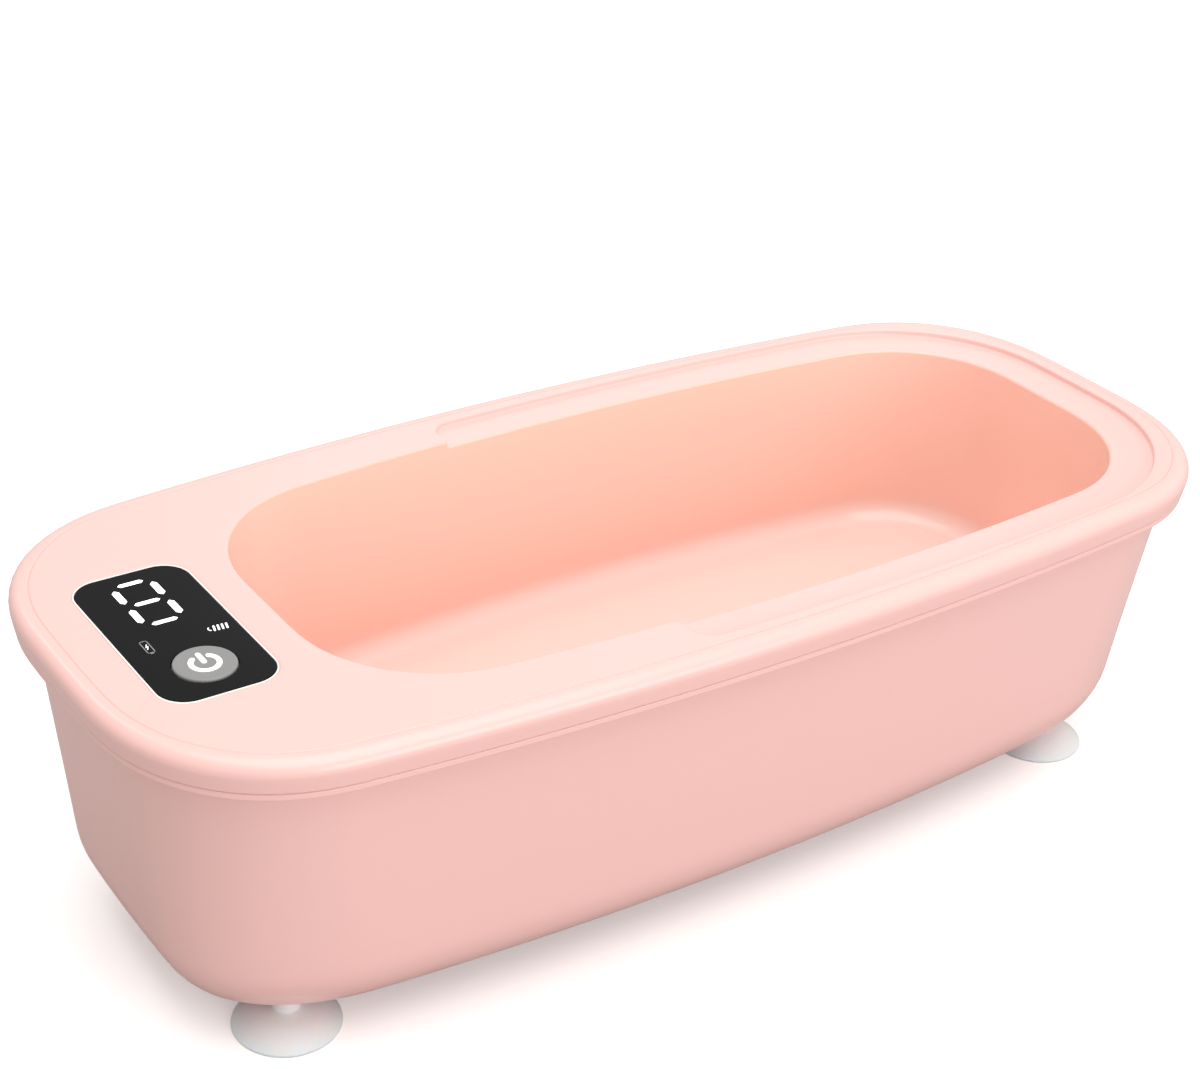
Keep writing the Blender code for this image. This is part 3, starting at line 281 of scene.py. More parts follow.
@dataclass(frozen=True)
class Plan:
    """A rounded rectangle seen from above, symmetric about the X axis, whose sides and ends bow outwards."""

    x0: float
    x1: float
    half: float
    radius_x: float
    radius_y: float
    power: float
    side_bow: float
    end_bow: float

    def inset(self, side, end=None):
        end = side if end is None else end
        return replace(
            self,
            x0=self.x0 + end,
            x1=self.x1 - end,
            half=self.half - side,
            radius_x=max(self.radius_x - end, 0.5 * MM),
            radius_y=max(self.radius_y - side, 0.5 * MM),
        )

    def bowed(self, x, y):
        u = (2 * x - self.x0 - self.x1) / (self.x1 - self.x0)
        v = y / self.half
        return x + self.end_bow * (1 - v * v) * u, y + self.side_bow * (1 - u * u) * v

    def side(self, x):
        return self.bowed(x, self.half)[1]

    def at(self, t, z):
        """The outline's point at t, from 0 to 8. Corners start at even numbers, straight runs at odd."""
        part, share = int(t % 8), t % 1
        sx, sy = ((1, 1), (-1, 1), (-1, -1), (1, -1))[part // 2]
        end = self.x1 if sx > 0 else self.x0
        if part % 2 == 0:
            turn = QUARTER * (share if sx * sy > 0 else 1 - share)
            along = max(math.cos(turn), 0.0) ** (2 / self.power)
            up = max(math.sin(turn), 0.0) ** (2 / self.power)
            x, y = end - sx * self.radius_x * (1 - along), sy * (self.half - self.radius_y * (1 - up))
        elif sx * sy > 0:
            near, far = end - sx * self.radius_x, (self.x0 + self.x1 - end) + sx * self.radius_x
            x, y = near + (far - near) * share, sy * self.half
        else:
            straight = self.half - self.radius_y
            x, y = end, sy * straight * (1 - 2 * share)
        return Vector((*self.bowed(x, y), z))

    def ring(self, places, z):
        return [self.at(t, z) for t in places]


def even_places(corner, side, end):
    """Places round an outline, with so many steps in each corner, side and end."""
    places = []
    for part in range(8):
        steps = corner if part % 2 == 0 else (side if part in (1, 5) else end)
        places += [part + i / steps for i in range(steps)]
    return places


def rim_plan():
    s = bpy.context.scene.cleaner_shell
    end, half = COVER_HIGH.x - s.end_bow, COVER_HIGH.y - s.side_bow
    return Plan(-end, end, half, s.corner_x, s.corner_y, 2.45, s.side_bow, s.end_bow)


def mouth_plan():
    s = bpy.context.scene.cleaner_shell
    rim = rim_plan()
    return Plan(
        rim.x0 + s.mouth_x,
        rim.x1 - s.mouth_end,
        rim.half - s.mouth_side,
        s.mouth_corner,
        s.mouth_corner,
        2.27,
        s.mouth_bow,
        0.5 * MM,
    )


def foot_plan():
    """Outline of the housing at the foot of its wall."""
    h, rim = bpy.context.scene.cleaner_housing, rim_plan()
    x0, x1, half = rim.x0 + h.end_inset, rim.x1 - h.end_inset, rim.half - h.side_inset
    return Plan(x0, x1, half, h.corner_x, h.corner_y, rim.power, h.bow, rim.end_bow)


def arc(steps, start=0.0, end=QUARTER):
    """Angles of an arc, both ends included."""
    return [start + (end - start) * i / steps for i in range(steps + 1)]


def fillet_rings(plan, places, radius, floor, slope, start=0.0, steps=10):
    """Rings from a wall of this slope down into a floor."""
    rings = []
    for turn in arc(steps, slope):
        inset = start + radius * (1 - math.cos(turn))
        rings.append(plan.inset(inset).ring(places, floor + radius * (1 - math.sin(turn))))
    return rings


def rounded_rectangle(size_x, size_y, radius, steps=6):
    """Points round the origin, counter-clockwise."""
    points = []
    for k, (sx, sy) in enumerate(((1, 1), (-1, 1), (-1, -1), (1, -1))):
        for turn in arc(steps, QUARTER * k, QUARTER * (k + 1)):
            x = sx * (size_x / 2 - radius) + radius * math.cos(turn)
            y = sy * (size_y / 2 - radius) + radius * math.sin(turn)
            points.append((x, y))
    return points


def circle(radius, steps=32):
    return [(radius * math.cos(t), radius * math.sin(t)) for t in arc(steps, 0, FULL)[:-1]]


def raised(points, z, x=0.0, y=0.0):
    return [Vector((x + px, y + py, z)) for px, py in points]


# ---------------------------------------------------------------- meshes

SHARP = 35  # degrees between two faces, above which their edge stays sharp

def add_skin(bm, rings, closed=True, loop=False, slots=()):
    """Joins each ring to the next. closed caps the first and last, or loop joins the last to the first."""
    made = [[bm.verts.new(p) for p in ring] for ring in rings]
    pairs = list(zip(made, made[1:] + (made[:1] if loop else [])))
    for k, (lower, upper) in enumerate(pairs):
        for i, vert in enumerate(lower):
            j = (i + 1) % len(lower)
            face = bm.faces.new((vert, lower[j], upper[j], upper[i]))
            face.material_index = slots[k] if k < len(slots) else 0
    if closed and not loop:
        bottom, top = bm.faces.new(made[0][::-1]), bm.faces.new(made[-1])
        bottom.material_index = slots[0] if slots else 0
        top.material_index = 0


def piece(name, bm, materials):
    """An object made from a bmesh, smooth except at edges sharper than SHARP."""
    bmesh.ops.recalc_face_normals(bm, faces=bm.faces)
    mesh = bpy.data.meshes.new(name)
    bm.to_mesh(mesh)
    bm.free()
    mesh.shade_smooth()
    mesh.set_sharp_from_angle(angle=math.radians(SHARP))
    for finish in materials:
        mesh.materials.append(finish)
    made = bpy.data.objects.new(name, mesh)
    bpy.context.scene.collection.objects.link(made)
    return made


def lofted(name, rings, materials, **how):
    bm = bmesh.new()
    add_skin(bm, rings, **how)
    return piece(name, bm, materials)


def turned_rings(profile, x, y, steps):
    """Rings of a solid of revolution; the profile lists (radius, z) along the axis."""
    return [raised(circle(r, steps), z, x, y) for r, z in profile]


def tool(shapes):
    """One object of several closed lofts, for joining to or cutting from a piece."""
    bm = bmesh.new()
    for rings in shapes:
        add_skin(bm, rings)
    return piece("tool", bm, [])


def extent(mesh):
    """Length of a mesh's box along X, Y and Z."""
    sides = zip(*(v.co for v in mesh.vertices))
    return Vector([max(side) - min(side) for side in sides])


def combine(target, shapes, operation):
    """Joins closed lofts to the target, or cuts them from it, and leaves plain mesh behind."""
    cutter = tool(shapes)
    before = extent(target.data)
    change = target.modifiers.new("combine", "BOOLEAN")
    change.operation = operation
    change.object = cutter
    bpy.context.view_layer.update()
    evaluated = target.evaluated_get(bpy.context.evaluated_depsgraph_get())
    mesh = bpy.data.meshes.new_from_object(evaluated)
    target.modifiers.remove(change)
    target.data = mesh
    bpy.data.objects.remove(cutter)
    if min(extent(mesh) - before) < -MM:
        raise RuntimeError(f"{target.name}: the {operation.lower()} lost part of it")
    mesh.set_sharp_from_angle(angle=math.radians(SHARP))


def even_normals(target):
    """Weights normals by face area, so that flat faces stay flat beside small fillets."""
    change = target.modifiers.new("even normals", "WEIGHTED_NORMAL")
    change.keep_sharp = True
    return target


def place_on(target, body, slot, *nodes):
    """Rides the piece on a body and hides the CAD nodes that it stands for. The slot is not used."""
    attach(target, body)
    if nodes:
        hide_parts(*nodes)
    return target


def post(x, y, radius, low, high, steps=24):
    return turned_rings([(radius, low), (radius, high)], x, y, steps)


def flared(points_at, low, high, edge, x=0.0, y=0.0):
    """Rings of a cutter that rounds the edge of its cut, at height high. points_at gives its outline."""
    rings = [raised(points_at(0.0), low, x, y)]
    turns = arc(5, 0, math.radians(72))
    for turn in turns:
        out, down = edge * (1 - math.cos(turn)), edge * (1 - math.sin(turn))
        rings.append(raised(points_at(out), high - down, x, y))
    last = turns[-1]
    rings.append(raised(points_at(out + math.sin(last) * MM), high - down + math.cos(last) * MM, x, y))
    return rings


# ---------------------------------------------------------------- node groups


def new_group(name, inputs, outputs):
    """A shader node group; inputs and outputs map a name to a socket type, or to a type and a default."""
    group = bpy.data.node_groups.new(name, "ShaderNodeTree")
    for in_out, sockets in (("INPUT", inputs), ("OUTPUT", outputs)):
        for socket_name, kind in sockets.items():
            kind, default = kind if isinstance(kind, tuple) else (kind, None)
            socket = group.interface.new_socket(socket_name, in_out=in_out, socket_type=f"NodeSocket{kind}")
            if default is not None:
                socket.default_value = default
    return group, group.nodes.new("NodeGroupInput"), group.nodes.new("NodeGroupOutput")


def add_node(tree, kind, links=None, **values):
    """A node whose attributes or inputs are set from values, and whose inputs are linked from links."""
    node = tree.nodes.new(kind)
    for key, value in values.items():
        setattr(node, key, value)
    for key, source in (links or {}).items():
        socket = node.inputs[key]
        if isinstance(source, (int, float, tuple)):
            socket.default_value = source
        else:
            tree.links.new(source, socket)
    return node


def math_node(tree, operation, a, b=0.0, clamp=False):
    return add_node(tree, "ShaderNodeMath", {0: a, 1: b}, operation=operation, use_clamp=clamp).outputs[0]


def mix_colour(tree, factor, a, b, blend="MIX"):
    node = add_node(tree, "ShaderNodeMix", {0: factor, 6: a, 7: b}, data_type="RGBA", blend_type=blend)
    return node.outputs[2]


def place_of(tree):
    return tree.nodes.new("ShaderNodeTexCoord").outputs["Object"]


def grain_group():
    """Fine moulded texture: a height for bump, and a value that varies the roughness."""
    inputs = {"Scale": ("Float", 900.0), "Spread": ("Float", 0.06), "Roughness": ("Float", 0.4)}
    tree, into, out = new_group("Moulded grain", inputs, {"Height": "Float", "Roughness": "Float"})
    place, scale = place_of(tree), into.outputs["Scale"]
    fine = add_node(tree, "ShaderNodeTexNoise", {"Vector": place, "Scale": scale, "Detail": 3.0})
    broad = add_node(tree, "ShaderNodeTexNoise", {"Vector": place, "Scale": 28.0, "Detail": 4.0})
    centred = math_node(tree, "SUBTRACT", broad.outputs["Fac"], 0.5)
    varied = math_node(tree, "MULTIPLY", centred, into.outputs["Spread"])
    tree.links.new(fine.outputs["Fac"], out.inputs["Height"])
    total = math_node(tree, "ADD", into.outputs["Roughness"], varied, clamp=True)
    tree.links.new(total, out.inputs["Roughness"])
    return tree


def drift_group():
    """Slow drift of a colour over a surface, as of pigment in moulded plastic."""
    inputs = {"Colour": "Color", "Other": "Color", "Scale": ("Float", 14.0), "Amount": ("Float", 0.5)}
    tree, into, out = new_group("Pigment drift", inputs, {"Colour": "Color"})
    links = {"Vector": place_of(tree), "Scale": into.outputs["Scale"], "Detail": 5.0, "Distortion": 0.4}
    noise = add_node(tree, "ShaderNodeTexNoise", links)
    factor = math_node(tree, "MULTIPLY", noise.outputs["Fac"], into.outputs["Amount"], clamp=True)
    mixed = mix_colour(tree, factor, into.outputs["Colour"], into.outputs["Other"])
    tree.links.new(mixed, out.inputs["Colour"])
    return tree


def edge_group():
    """Edges rubbed lighter: a mask from the curvature, broken up by noise."""
    inputs = {"Colour": "Color", "Worn": "Color", "Amount": ("Float", 0.5)}
    tree, into, out = new_group("Rubbed edges", inputs, {"Colour": "Color", "Mask": "Float"})
    point = tree.nodes.new("ShaderNodeNewGeometry").outputs["Pointiness"]
    links = {"Value": point, "From Min": 0.52, "From Max": 0.62}
    sharp = add_node(tree, "ShaderNodeMapRange", links, clamp=True).outputs["Result"]
    noise = add_node(tree, "ShaderNodeTexNoise", {"Vector": place_of(tree), "Scale": 260.0, "Detail": 4.0})
    broken = math_node(tree, "MULTIPLY", sharp, noise.outputs["Fac"])
    mask = math_node(tree, "MULTIPLY", broken, into.outputs["Amount"], clamp=True)
    tree.links.new(mix_colour(tree, mask, into.outputs["Colour"], into.outputs["Worn"]), out.inputs["Colour"])
    tree.links.new(mask, out.inputs["Mask"])
    return tree


def scratch_group():
    """Long hairline scratches and wipe marks: a value that raises the roughness, and a height."""
    inputs = {"Roughness": ("Float", 0.2), "Amount": ("Float", 0.2)}
    tree, into, out = new_group("Wipe marks", inputs, {"Roughness": "Float", "Height": "Float"})
    stretch = add_node(tree, "ShaderNodeMapping", {"Vector": place_of(tree), "Scale": (900.0, 40.0, 90.0)})
    noise = add_node(tree, "ShaderNodeTexNoise", {"Vector": stretch.outputs[0], "Scale": 1.0, "Detail": 2.0})
    smear = add_node(tree, "ShaderNodeTexNoise", {"Vector": place_of(tree), "Scale": 60.0, "Detail": 6.0})
    both = math_node(tree, "MULTIPLY", noise.outputs["Fac"], smear.outputs["Fac"])
    extra = math_node(tree, "MULTIPLY", both, into.outputs["Amount"])
    total = math_node(tree, "ADD", into.outputs["Roughness"], extra, clamp=True)
    tree.links.new(total, out.inputs["Roughness"])
    tree.links.new(both, out.inputs["Height"])
    return tree


def stripes_group():
    """Turns of wire or layers of foil along an axis: a height and a dark line between turns."""
    inputs = {"Scale": ("Float", 900.0), "Colour": "Color", "Line": "Color"}
    tree, into, out = new_group("Wound turns", inputs, {"Colour": "Color", "Height": "Float"})
    links = {"Vector": place_of(tree), "Scale": into.outputs["Scale"], "Distortion": 0.3, "Detail": 1.0}
    wave = add_node(tree, "ShaderNodeTexWave", links, wave_type="BANDS", bands_direction="Z")
    mixed = mix_colour(tree, wave.outputs["Fac"], into.outputs["Line"], into.outputs["Colour"])
    tree.links.new(mixed, out.inputs["Colour"])
    tree.links.new(wave.outputs["Fac"], out.inputs["Height"])
    return tree


def tracks_group():
    """Copper tracks under solder mask, from a grid of square cells: a mask."""
    tree, into, out = new_group("Board tracks", {"Scale": ("Float", 420.0)}, {"Mask": "Float"})
    links = {"Vector": place_of(tree), "Scale": into.outputs["Scale"], "Randomness": 0.35}
    cells = add_node(tree, "ShaderNodeTexVoronoi", links, distance="MANHATTAN", feature="F1")
    links = {"Value": cells.outputs["Distance"], "From Min": 0.42, "From Max": 0.47}
    edge = add_node(tree, "ShaderNodeMapRange", links, clamp=True)
    tree.links.new(edge.outputs["Result"], out.inputs["Mask"])
    return tree


GROUP_BUILDERS = {
    "grain": grain_group,
    "drift": drift_group,
    "edge": edge_group,
    "scratch": scratch_group,
    "stripes": stripes_group,
    "tracks": tracks_group,
}
groups = {}


def use_group(tree, name, links):
    """Places a shared effect in a material; the group is built the first time that it is used."""
    if name not in groups:
        groups[name] = GROUP_BUILDERS[name]()
    node = tree.nodes.new("ShaderNodeGroup")
    node.node_tree = groups[name]
    for key, source in links.items():
        if isinstance(source, (int, float, tuple)):
            node.inputs[key].default_value = source
        else:
            tree.links.new(source, node.inputs[key])
    return node


# ---------------------------------------------------------------- materials


def rgba(colour, factor=1.0):
    return (*(min(c * factor, 1.0) for c in colour), 1.0)


def start_material(name, **constants):
    """A material with one Principled shader, whose constant inputs are set on its own sockets."""
    made = bpy.data.materials.new(name)
    made.use_nodes = True
    shader = made.node_tree.nodes["Principled BSDF"]
    for key, value in constants.items():
        shader.inputs[key.replace("_", " ")].default_value = value
    return made, made.node_tree, shader


def bump(tree, shader, height, strength, distance):
    links = {"Height": height, "Strength": strength, "Distance": distance}
    tree.links.new(add_node(tree, "ShaderNodeBump", links).outputs["Normal"], shader.inputs["Normal"])


def moulded(name, colour, other, roughness, grain=900.0, relief=0.06, worn=0.35, drift=0.5, **constants):
    """Moulded plastic: pigment drift, rubbed edges, and fine grain in bump and roughness."""
    made, tree, shader = start_material(name, **constants)
    drifted = use_group(tree, "drift", {"Colour": rgba(colour), "Other": rgba(other), "Amount": drift})
    links = {"Colour": drifted.outputs["Colour"], "Worn": rgba(colour, 1.12), "Amount": worn}
    rubbed = use_group(tree, "edge", links)
    tree.links.new(rubbed.outputs["Colour"], shader.inputs["Base Color"])
    texture = use_group(tree, "grain", {"Scale": grain, "Roughness": roughness, "Spread": 0.1})
    tree.links.new(texture.outputs["Roughness"], shader.inputs["Roughness"])
    bump(tree, shader, texture.outputs["Height"], relief, 0.1 * MM)
    return made


def brushed(name, colour, roughness, metallic=1.0, relief=0.1, **constants):
    """Metal: drift in tone, wipe marks in roughness, and bright edges."""
    made, tree, shader = start_material(name, Metallic=metallic, **constants)
    drifted = use_group(tree, "drift", {"Colour": rgba(colour), "Other": rgba(colour, 0.8), "Scale": 120.0})
    links = {"Colour": drifted.outputs["Colour"], "Worn": rgba(colour, 1.3), "Amount": 0.8}
    rubbed = use_group(tree, "edge", links)
    tree.links.new(rubbed.outputs["Colour"], shader.inputs["Base Color"])
    wiped = use_group(tree, "scratch", {"Roughness": roughness, "Amount": 0.25})
    tree.links.new(wiped.outputs["Roughness"], shader.inputs["Roughness"])
    bump(tree, shader, wiped.outputs["Height"], relief, 0.05 * MM)
    return made


def shell_plastic():
    colour = tuple(bpy.context.scene.cleaner_shell.colour)
    other = (colour[0] * 0.99, colour[1] * 0.97, colour[2] * 0.97)
    coat = {"Coat_Weight": 0.2, "Coat_Roughness": 0.2}
    return moulded("pink_shell_plastic", colour, other, 0.34, grain=1400.0, relief=0.05, worn=0.25, **coat)


def tank_plastic_with_painted_light():
    """Polished plastic in tones set brighter than the shell's, as painted light thrown back inside the tank:
    a deeper peach on the wall, paler on the floor.
    """
    s = bpy.context.scene.cleaner_shell
    wall, floor = tuple(s.tank_wall_bounce_colour), tuple(s.tank_floor_bounce_colour)
    made, tree, shader = start_material("polished_tank_plastic_painted_light", Coat_Weight=0.5, Coat_Roughness=0.06)
    height = add_node(tree, "ShaderNodeSeparateXYZ", {0: place_of(tree)}).outputs["Z"]
    bottom = DECK - s.tank_depth
    # Painted light: the colour fades by height from the paler floor into the wall's deeper peach, for light
    # thrown back inside the tank.
    links = {"Value": height, "From Min": bottom + 0.3 * MM, "From Max": bottom + 6 * MM}
    share = add_node(tree, "ShaderNodeMapRange", links, interpolation_type="SMOOTHSTEP").outputs["Result"]
    base = mix_colour(tree, share, rgba(floor), rgba(wall))
    other = mix_colour(tree, share, rgba(floor, 0.97), rgba(wall, 0.97))
    drifted = use_group(tree, "drift", {"Colour": base, "Other": other, "Amount": 0.5})
    tree.links.new(drifted.outputs["Colour"], shader.inputs["Base Color"])
    texture = use_group(tree, "grain", {"Scale": 700.0, "Roughness": 0.22, "Spread": 0.1})
    tree.links.new(texture.outputs["Roughness"], shader.inputs["Roughness"])
    bump(tree, shader, texture.outputs["Height"], 0.02, 0.1 * MM)
    return made


def window_plastic():
    """Smoked acrylic: nearly black, with faint wipe marks."""
    colour = tuple(bpy.context.scene.cleaner_display.window)
    made, tree, shader = start_material("smoked_window", Specular_IOR_Level=0.05)
    drifted = use_group(tree, "drift", {"Colour": rgba(colour), "Other": rgba(colour, 1.3), "Scale": 40.0})
    tree.links.new(drifted.outputs["Colour"], shader.inputs["Base Color"])
    wiped = use_group(tree, "scratch", {"Roughness": 0.16, "Amount": 0.15})
    tree.links.new(wiped.outputs["Roughness"], shader.inputs["Roughness"])
    bump(tree, shader, wiped.outputs["Height"], 0.02, 0.02 * MM)
    return made


def lit_marks(name, strength):
    """Marks printed in white and lit from behind, or in grey where they are unlit."""
    d = bpy.context.scene.cleaner_display
    made, tree, shader = start_material(name, Emission_Strength=strength)
    shade = 1.0 if strength > 0 else 0.3
    links = {"Colour": rgba(d.lit, shade), "Other": rgba(d.lit, 0.9 * shade), "Scale": 900.0}
    drifted = use_group(tree, "drift", links)
    for socket in ("Base Color", "Emission Color"):
        tree.links.new(drifted.outputs["Colour"], shader.inputs[socket])
    texture = use_group(tree, "grain", {"Scale": 3000.0, "Roughness": 0.45, "Spread": 0.1})
    tree.links.new(texture.outputs["Roughness"], shader.inputs["Roughness"])
    return made


def key_plastic():
    colour = tuple(bpy.context.scene.cleaner_key.colour)
    other = tuple(c * 0.94 for c in colour)
    return moulded("satin_key_plastic", colour, other, 0.42, grain=2600.0, relief=0.12, worn=0.5)


def milky_silicone():
    """Translucent silicone with a soft grain."""
    colour = tuple(bpy.context.scene.cleaner_foot.colour)
    other = (colour[0] * 0.96, colour[1] * 0.95, colour[2] * 0.96)
    inside = {"Subsurface_Weight": 0.5, "Subsurface_Scale": 3 * MM, "Transmission_Weight": 0.12, "IOR": 1.41}
    return moulded("milky_silicone", colour, other, 0.34, grain=500.0, relief=0.08, worn=0.5, **inside)


def circuit_board():
    """Green solder mask over copper tracks."""
    made, tree, shader = start_material("green_circuit_board", Coat_Weight=0.4, Coat_Roughness=0.2)
    tracks = use_group(tree, "tracks", {"Scale": 420.0})
    base = mix_colour(tree, tracks.outputs["Mask"], (0.012, 0.10, 0.045, 1), (0.03, 0.20, 0.085, 1))
    drifted = use_group(tree, "drift", {"Colour": base, "Other": (0.02, 0.13, 0.06, 1), "Amount": 0.3})
    tree.links.new(drifted.outputs["Colour"], shader.inputs["Base Color"])
    texture = use_group(tree, "grain", {"Scale": 2500.0, "Roughness": 0.42, "Spread": 0.15})
    tree.links.new(texture.outputs["Roughness"], shader.inputs["Roughness"])
    bump(tree, shader, tracks.outputs["Mask"], 0.4, 0.05 * MM)
    return made


def wound(name, colour, line, scale, metallic, roughness):
    """Turns of enamelled wire, or layers of film."""
    made, tree, shader = start_material(name, Metallic=metallic)
    turns = use_group(tree, "stripes", {"Colour": rgba(colour), "Line": rgba(line), "Scale": scale})
    tree.links.new(turns.outputs["Colour"], shader.inputs["Base Color"])
    wiped = use_group(tree, "scratch", {"Roughness": roughness, "Amount": 0.2})
    tree.links.new(wiped.outputs["Roughness"], shader.inputs["Roughness"])
    bump(tree, shader, turns.outputs["Height"], 0.5, 0.1 * MM)
    return made


def floor_paper(tone, bounce):
    """Matt backdrop paper, which throws back less light than it shows, and is clear from below."""
    made, tree, shader = start_material("backdrop_paper", Specular_IOR_Level=0.2)
    drifted = use_group(tree, "drift", {"Colour": rgba(tone), "Other": rgba(tone, 0.985), "Scale": 3.0})
    seen = tree.nodes.new("ShaderNodeLightPath").outputs["Is Camera Ray"]
    shown = mix_colour(tree, seen, rgba(bounce), drifted.outputs["Colour"])
    tree.links.new(shown, shader.inputs["Base Color"])
    shader.inputs["Emission Color"].default_value = (1.0, 0.99, 0.985, 1.0)
    tree.links.new(math_node(tree, "MULTIPLY", seen, 0.22), shader.inputs["Emission Strength"])
    below = tree.nodes.new("ShaderNodeNewGeometry").outputs["Backfacing"]
    clear = tree.nodes.new("ShaderNodeBsdfTransparent").outputs[0]
    both = add_node(tree, "ShaderNodeMixShader", {0: below, 1: shader.outputs[0], 2: clear}).outputs[0]
    tree.links.new(both, tree.nodes["Material Output"].inputs["Surface"])
    texture = use_group(tree, "grain", {"Scale": 1200.0, "Roughness": 0.85, "Spread": 0.05})
    tree.links.new(texture.outputs["Roughness"], shader.inputs["Roughness"])
    return made


MATERIAL_MAKERS = {
    "shell": shell_plastic,
    "tank": tank_plastic_with_painted_light,
    "window": window_plastic,
    "lit": lambda: lit_marks("lit_digit", bpy.context.scene.cleaner_display.glow),
    "print": lambda: lit_marks("white_print", 0.35 * bpy.context.scene.cleaner_display.glow),
    "dim": lambda: lit_marks("dim_print", 0.0),
    # The pale rim's cream colour is a painted highlight round the window.
    "rim": lambda: moulded("painted_highlight_rim", (0.95, 0.90, 0.85), (0.9, 0.84, 0.78), 0.3, 2000.0, 0.02),
    "key": key_plastic,
    "silicone": milky_silicone,
    "steel": lambda: brushed("plated_steel", (0.58, 0.58, 0.60), 0.28),
    "gold": lambda: brushed("contact_gold", (0.85, 0.60, 0.25), 0.25),
    "dark": lambda: moulded("black_plastic", (0.025, 0.025, 0.026), (0.04, 0.04, 0.042), 0.45, 2000.0, 0.2),
    "white": lambda: moulded("white_plastic", (0.80, 0.79, 0.75), (0.72, 0.71, 0.66), 0.4, 2000.0, 0.1),
    "board": circuit_board,
    "ceramic": lambda: moulded("piezo_ceramic", (0.62, 0.56, 0.46), (0.5, 0.45, 0.36), 0.6, 3000.0, 0.5),
    "ferrite": lambda: moulded("dark_ferrite", (0.045, 0.045, 0.05), (0.07, 0.068, 0.066), 0.7, 2600.0, 0.7),
    "winding": lambda: wound("copper_winding", (0.66, 0.30, 0.13), (0.20, 0.08, 0.03), 900.0, 1.0, 0.3),
    "foil": lambda: brushed("battery_foil", (0.60, 0.61, 0.63), 0.34, 0.9, 0.5),
    "foam": lambda: moulded("black_foam", (0.05, 0.05, 0.05), (0.08, 0.08, 0.08), 0.95, 1800.0, 1.0),
    "film": lambda: wound("red_film", (0.55, 0.05, 0.03), (0.42, 0.03, 0.02), 500.0, 0.0, 0.3),
    "red": lambda: moulded("red_sleeve", (0.55, 0.03, 0.03), (0.45, 0.02, 0.02), 0.45, 2500.0, 0.1),
    "blue": lambda: moulded("blue_sleeve", (0.04, 0.10, 0.45), (0.03, 0.08, 0.36), 0.45, 2500.0, 0.1),
}
materials = {}


def finish_of(name):
    """A material by name, made the first time that it is asked for."""
    if name not in materials:
        materials[name] = MATERIAL_MAKERS[name]()
    return materials[name]


# ---------------------------------------------------------------- top cover

# The mesh is a grid of columns, which run out from the mouth, and rings, which run round it. Both crowd
# together where the ledge's wall turns its two corners. Distances there are in millimetres from the wall.
LEDGE_GAPS = (5.6, 4.8, 4.1, 3.4, 2.8, 2.2, 1.6, 1.1, 0.7)
LEDGE_CLEAR = 6.1
CORNER_STEPS, SIDE_STEPS, END_STEPS = 28, 44, 12


def step_profile(depth, foot=0.3 * MM, edge=0.35 * MM, draft=0.04 * MM):
    """(distance, height) across a step, from its foot to its top. The wall stands at distance 0."""
    low = [(-draft - foot * (1 - math.sin(a)), -depth + foot * (1 - math.cos(a))) for a in arc(4)]
    high = [(edge * (1 - math.cos(a)), -edge * (1 - math.sin(a))) for a in arc(5)]
    return low + high


def side_columns(mouth, start, step):
    """(share of the side, deck's height) along the rear side of the mouth, from the tank end."""
    low, first = DECK + step[0][1], mouth.x1 - mouth.radius_x
    span = first - mouth.x0 - mouth.radius_x
    across = [(start - distance, DECK + height) for distance, height in step]
    across += [(start + gap * MM, low) for gap in LEDGE_GAPS]
    for i in range(SIDE_STEPS):
        x = first - span * i / SIDE_STEPS
        if x > start + LEDGE_CLEAR * MM:
            across.append((x, low))
        elif x < start - 3 * step[-1][0]:
            across.append((x, DECK))
    return sorted(((first - x) / span, z) for x, z in across)


def cover_columns(mouth, start, step):
    """Places round the mouth, and the deck's height at each: sunk along the ledge, in full at the panel."""
    low, side = DECK + step[0][1], side_columns(mouth, start, step)
    front = [(0.0, DECK)] + [(1 - share, z) for share, z in side[:0:-1]]
    columns = []
    for part in range(8):
        steps, top = (END_STEPS if part % 2 else CORNER_STEPS), (DECK if part in (2, 3, 4) else low)
        shares = {1: side, 5: front}.get(part, [(i / steps, top) for i in range(steps)])
        columns += [(part + share, z) for share, z in shares]
    return [t for t, _ in columns], [z for _, z in columns]


def opposite_places(mouth, places, rim):
    """Places on the rim straight out from each place on the mouth."""
    steps, nudge = 400, 0.002
    fine = [i / steps for i in range(8 * steps)]
    outline = rim.ring(fine, 0.0)
    found = []
    for t in places:
        here, ahead = mouth.at(t, 0.0), mouth.at(t + nudge, 0.0) - mouth.at(t - nudge, 0.0)

        def miss(i):
            away = outline[i] - here
            behind = 1.0 if away.cross(ahead).z < 0 else 0.0
            return abs(away.dot(ahead.normalized())) + behind

        found.append(fine[min(range(len(fine)), key=miss)])
    return found


def rounded_corners(rings, outer, start, radius, reach):
    """Turns the ledge's two square corners into round ones, by moving what lies near them."""
    for ring in rings:
        for point in ring:
            side = math.copysign(1.0, point.y)
            a = point.x - (start + radius)
            b = abs(point.y) - (outer.side(point.x) - radius)
            m = max(-a, b)
            if a >= 0 or b <= 0 or m >= radius + reach:
                continue
            blend = min(max((m - radius) / reach, 0.0), 1.0)
            blend = blend * blend * (3 - 2 * blend)
            factor = m / math.hypot(a, b) * (1 - blend) + blend
            point.x = start + radius + a * factor
            point.y = side * (outer.side(point.x) - radius + b * factor)


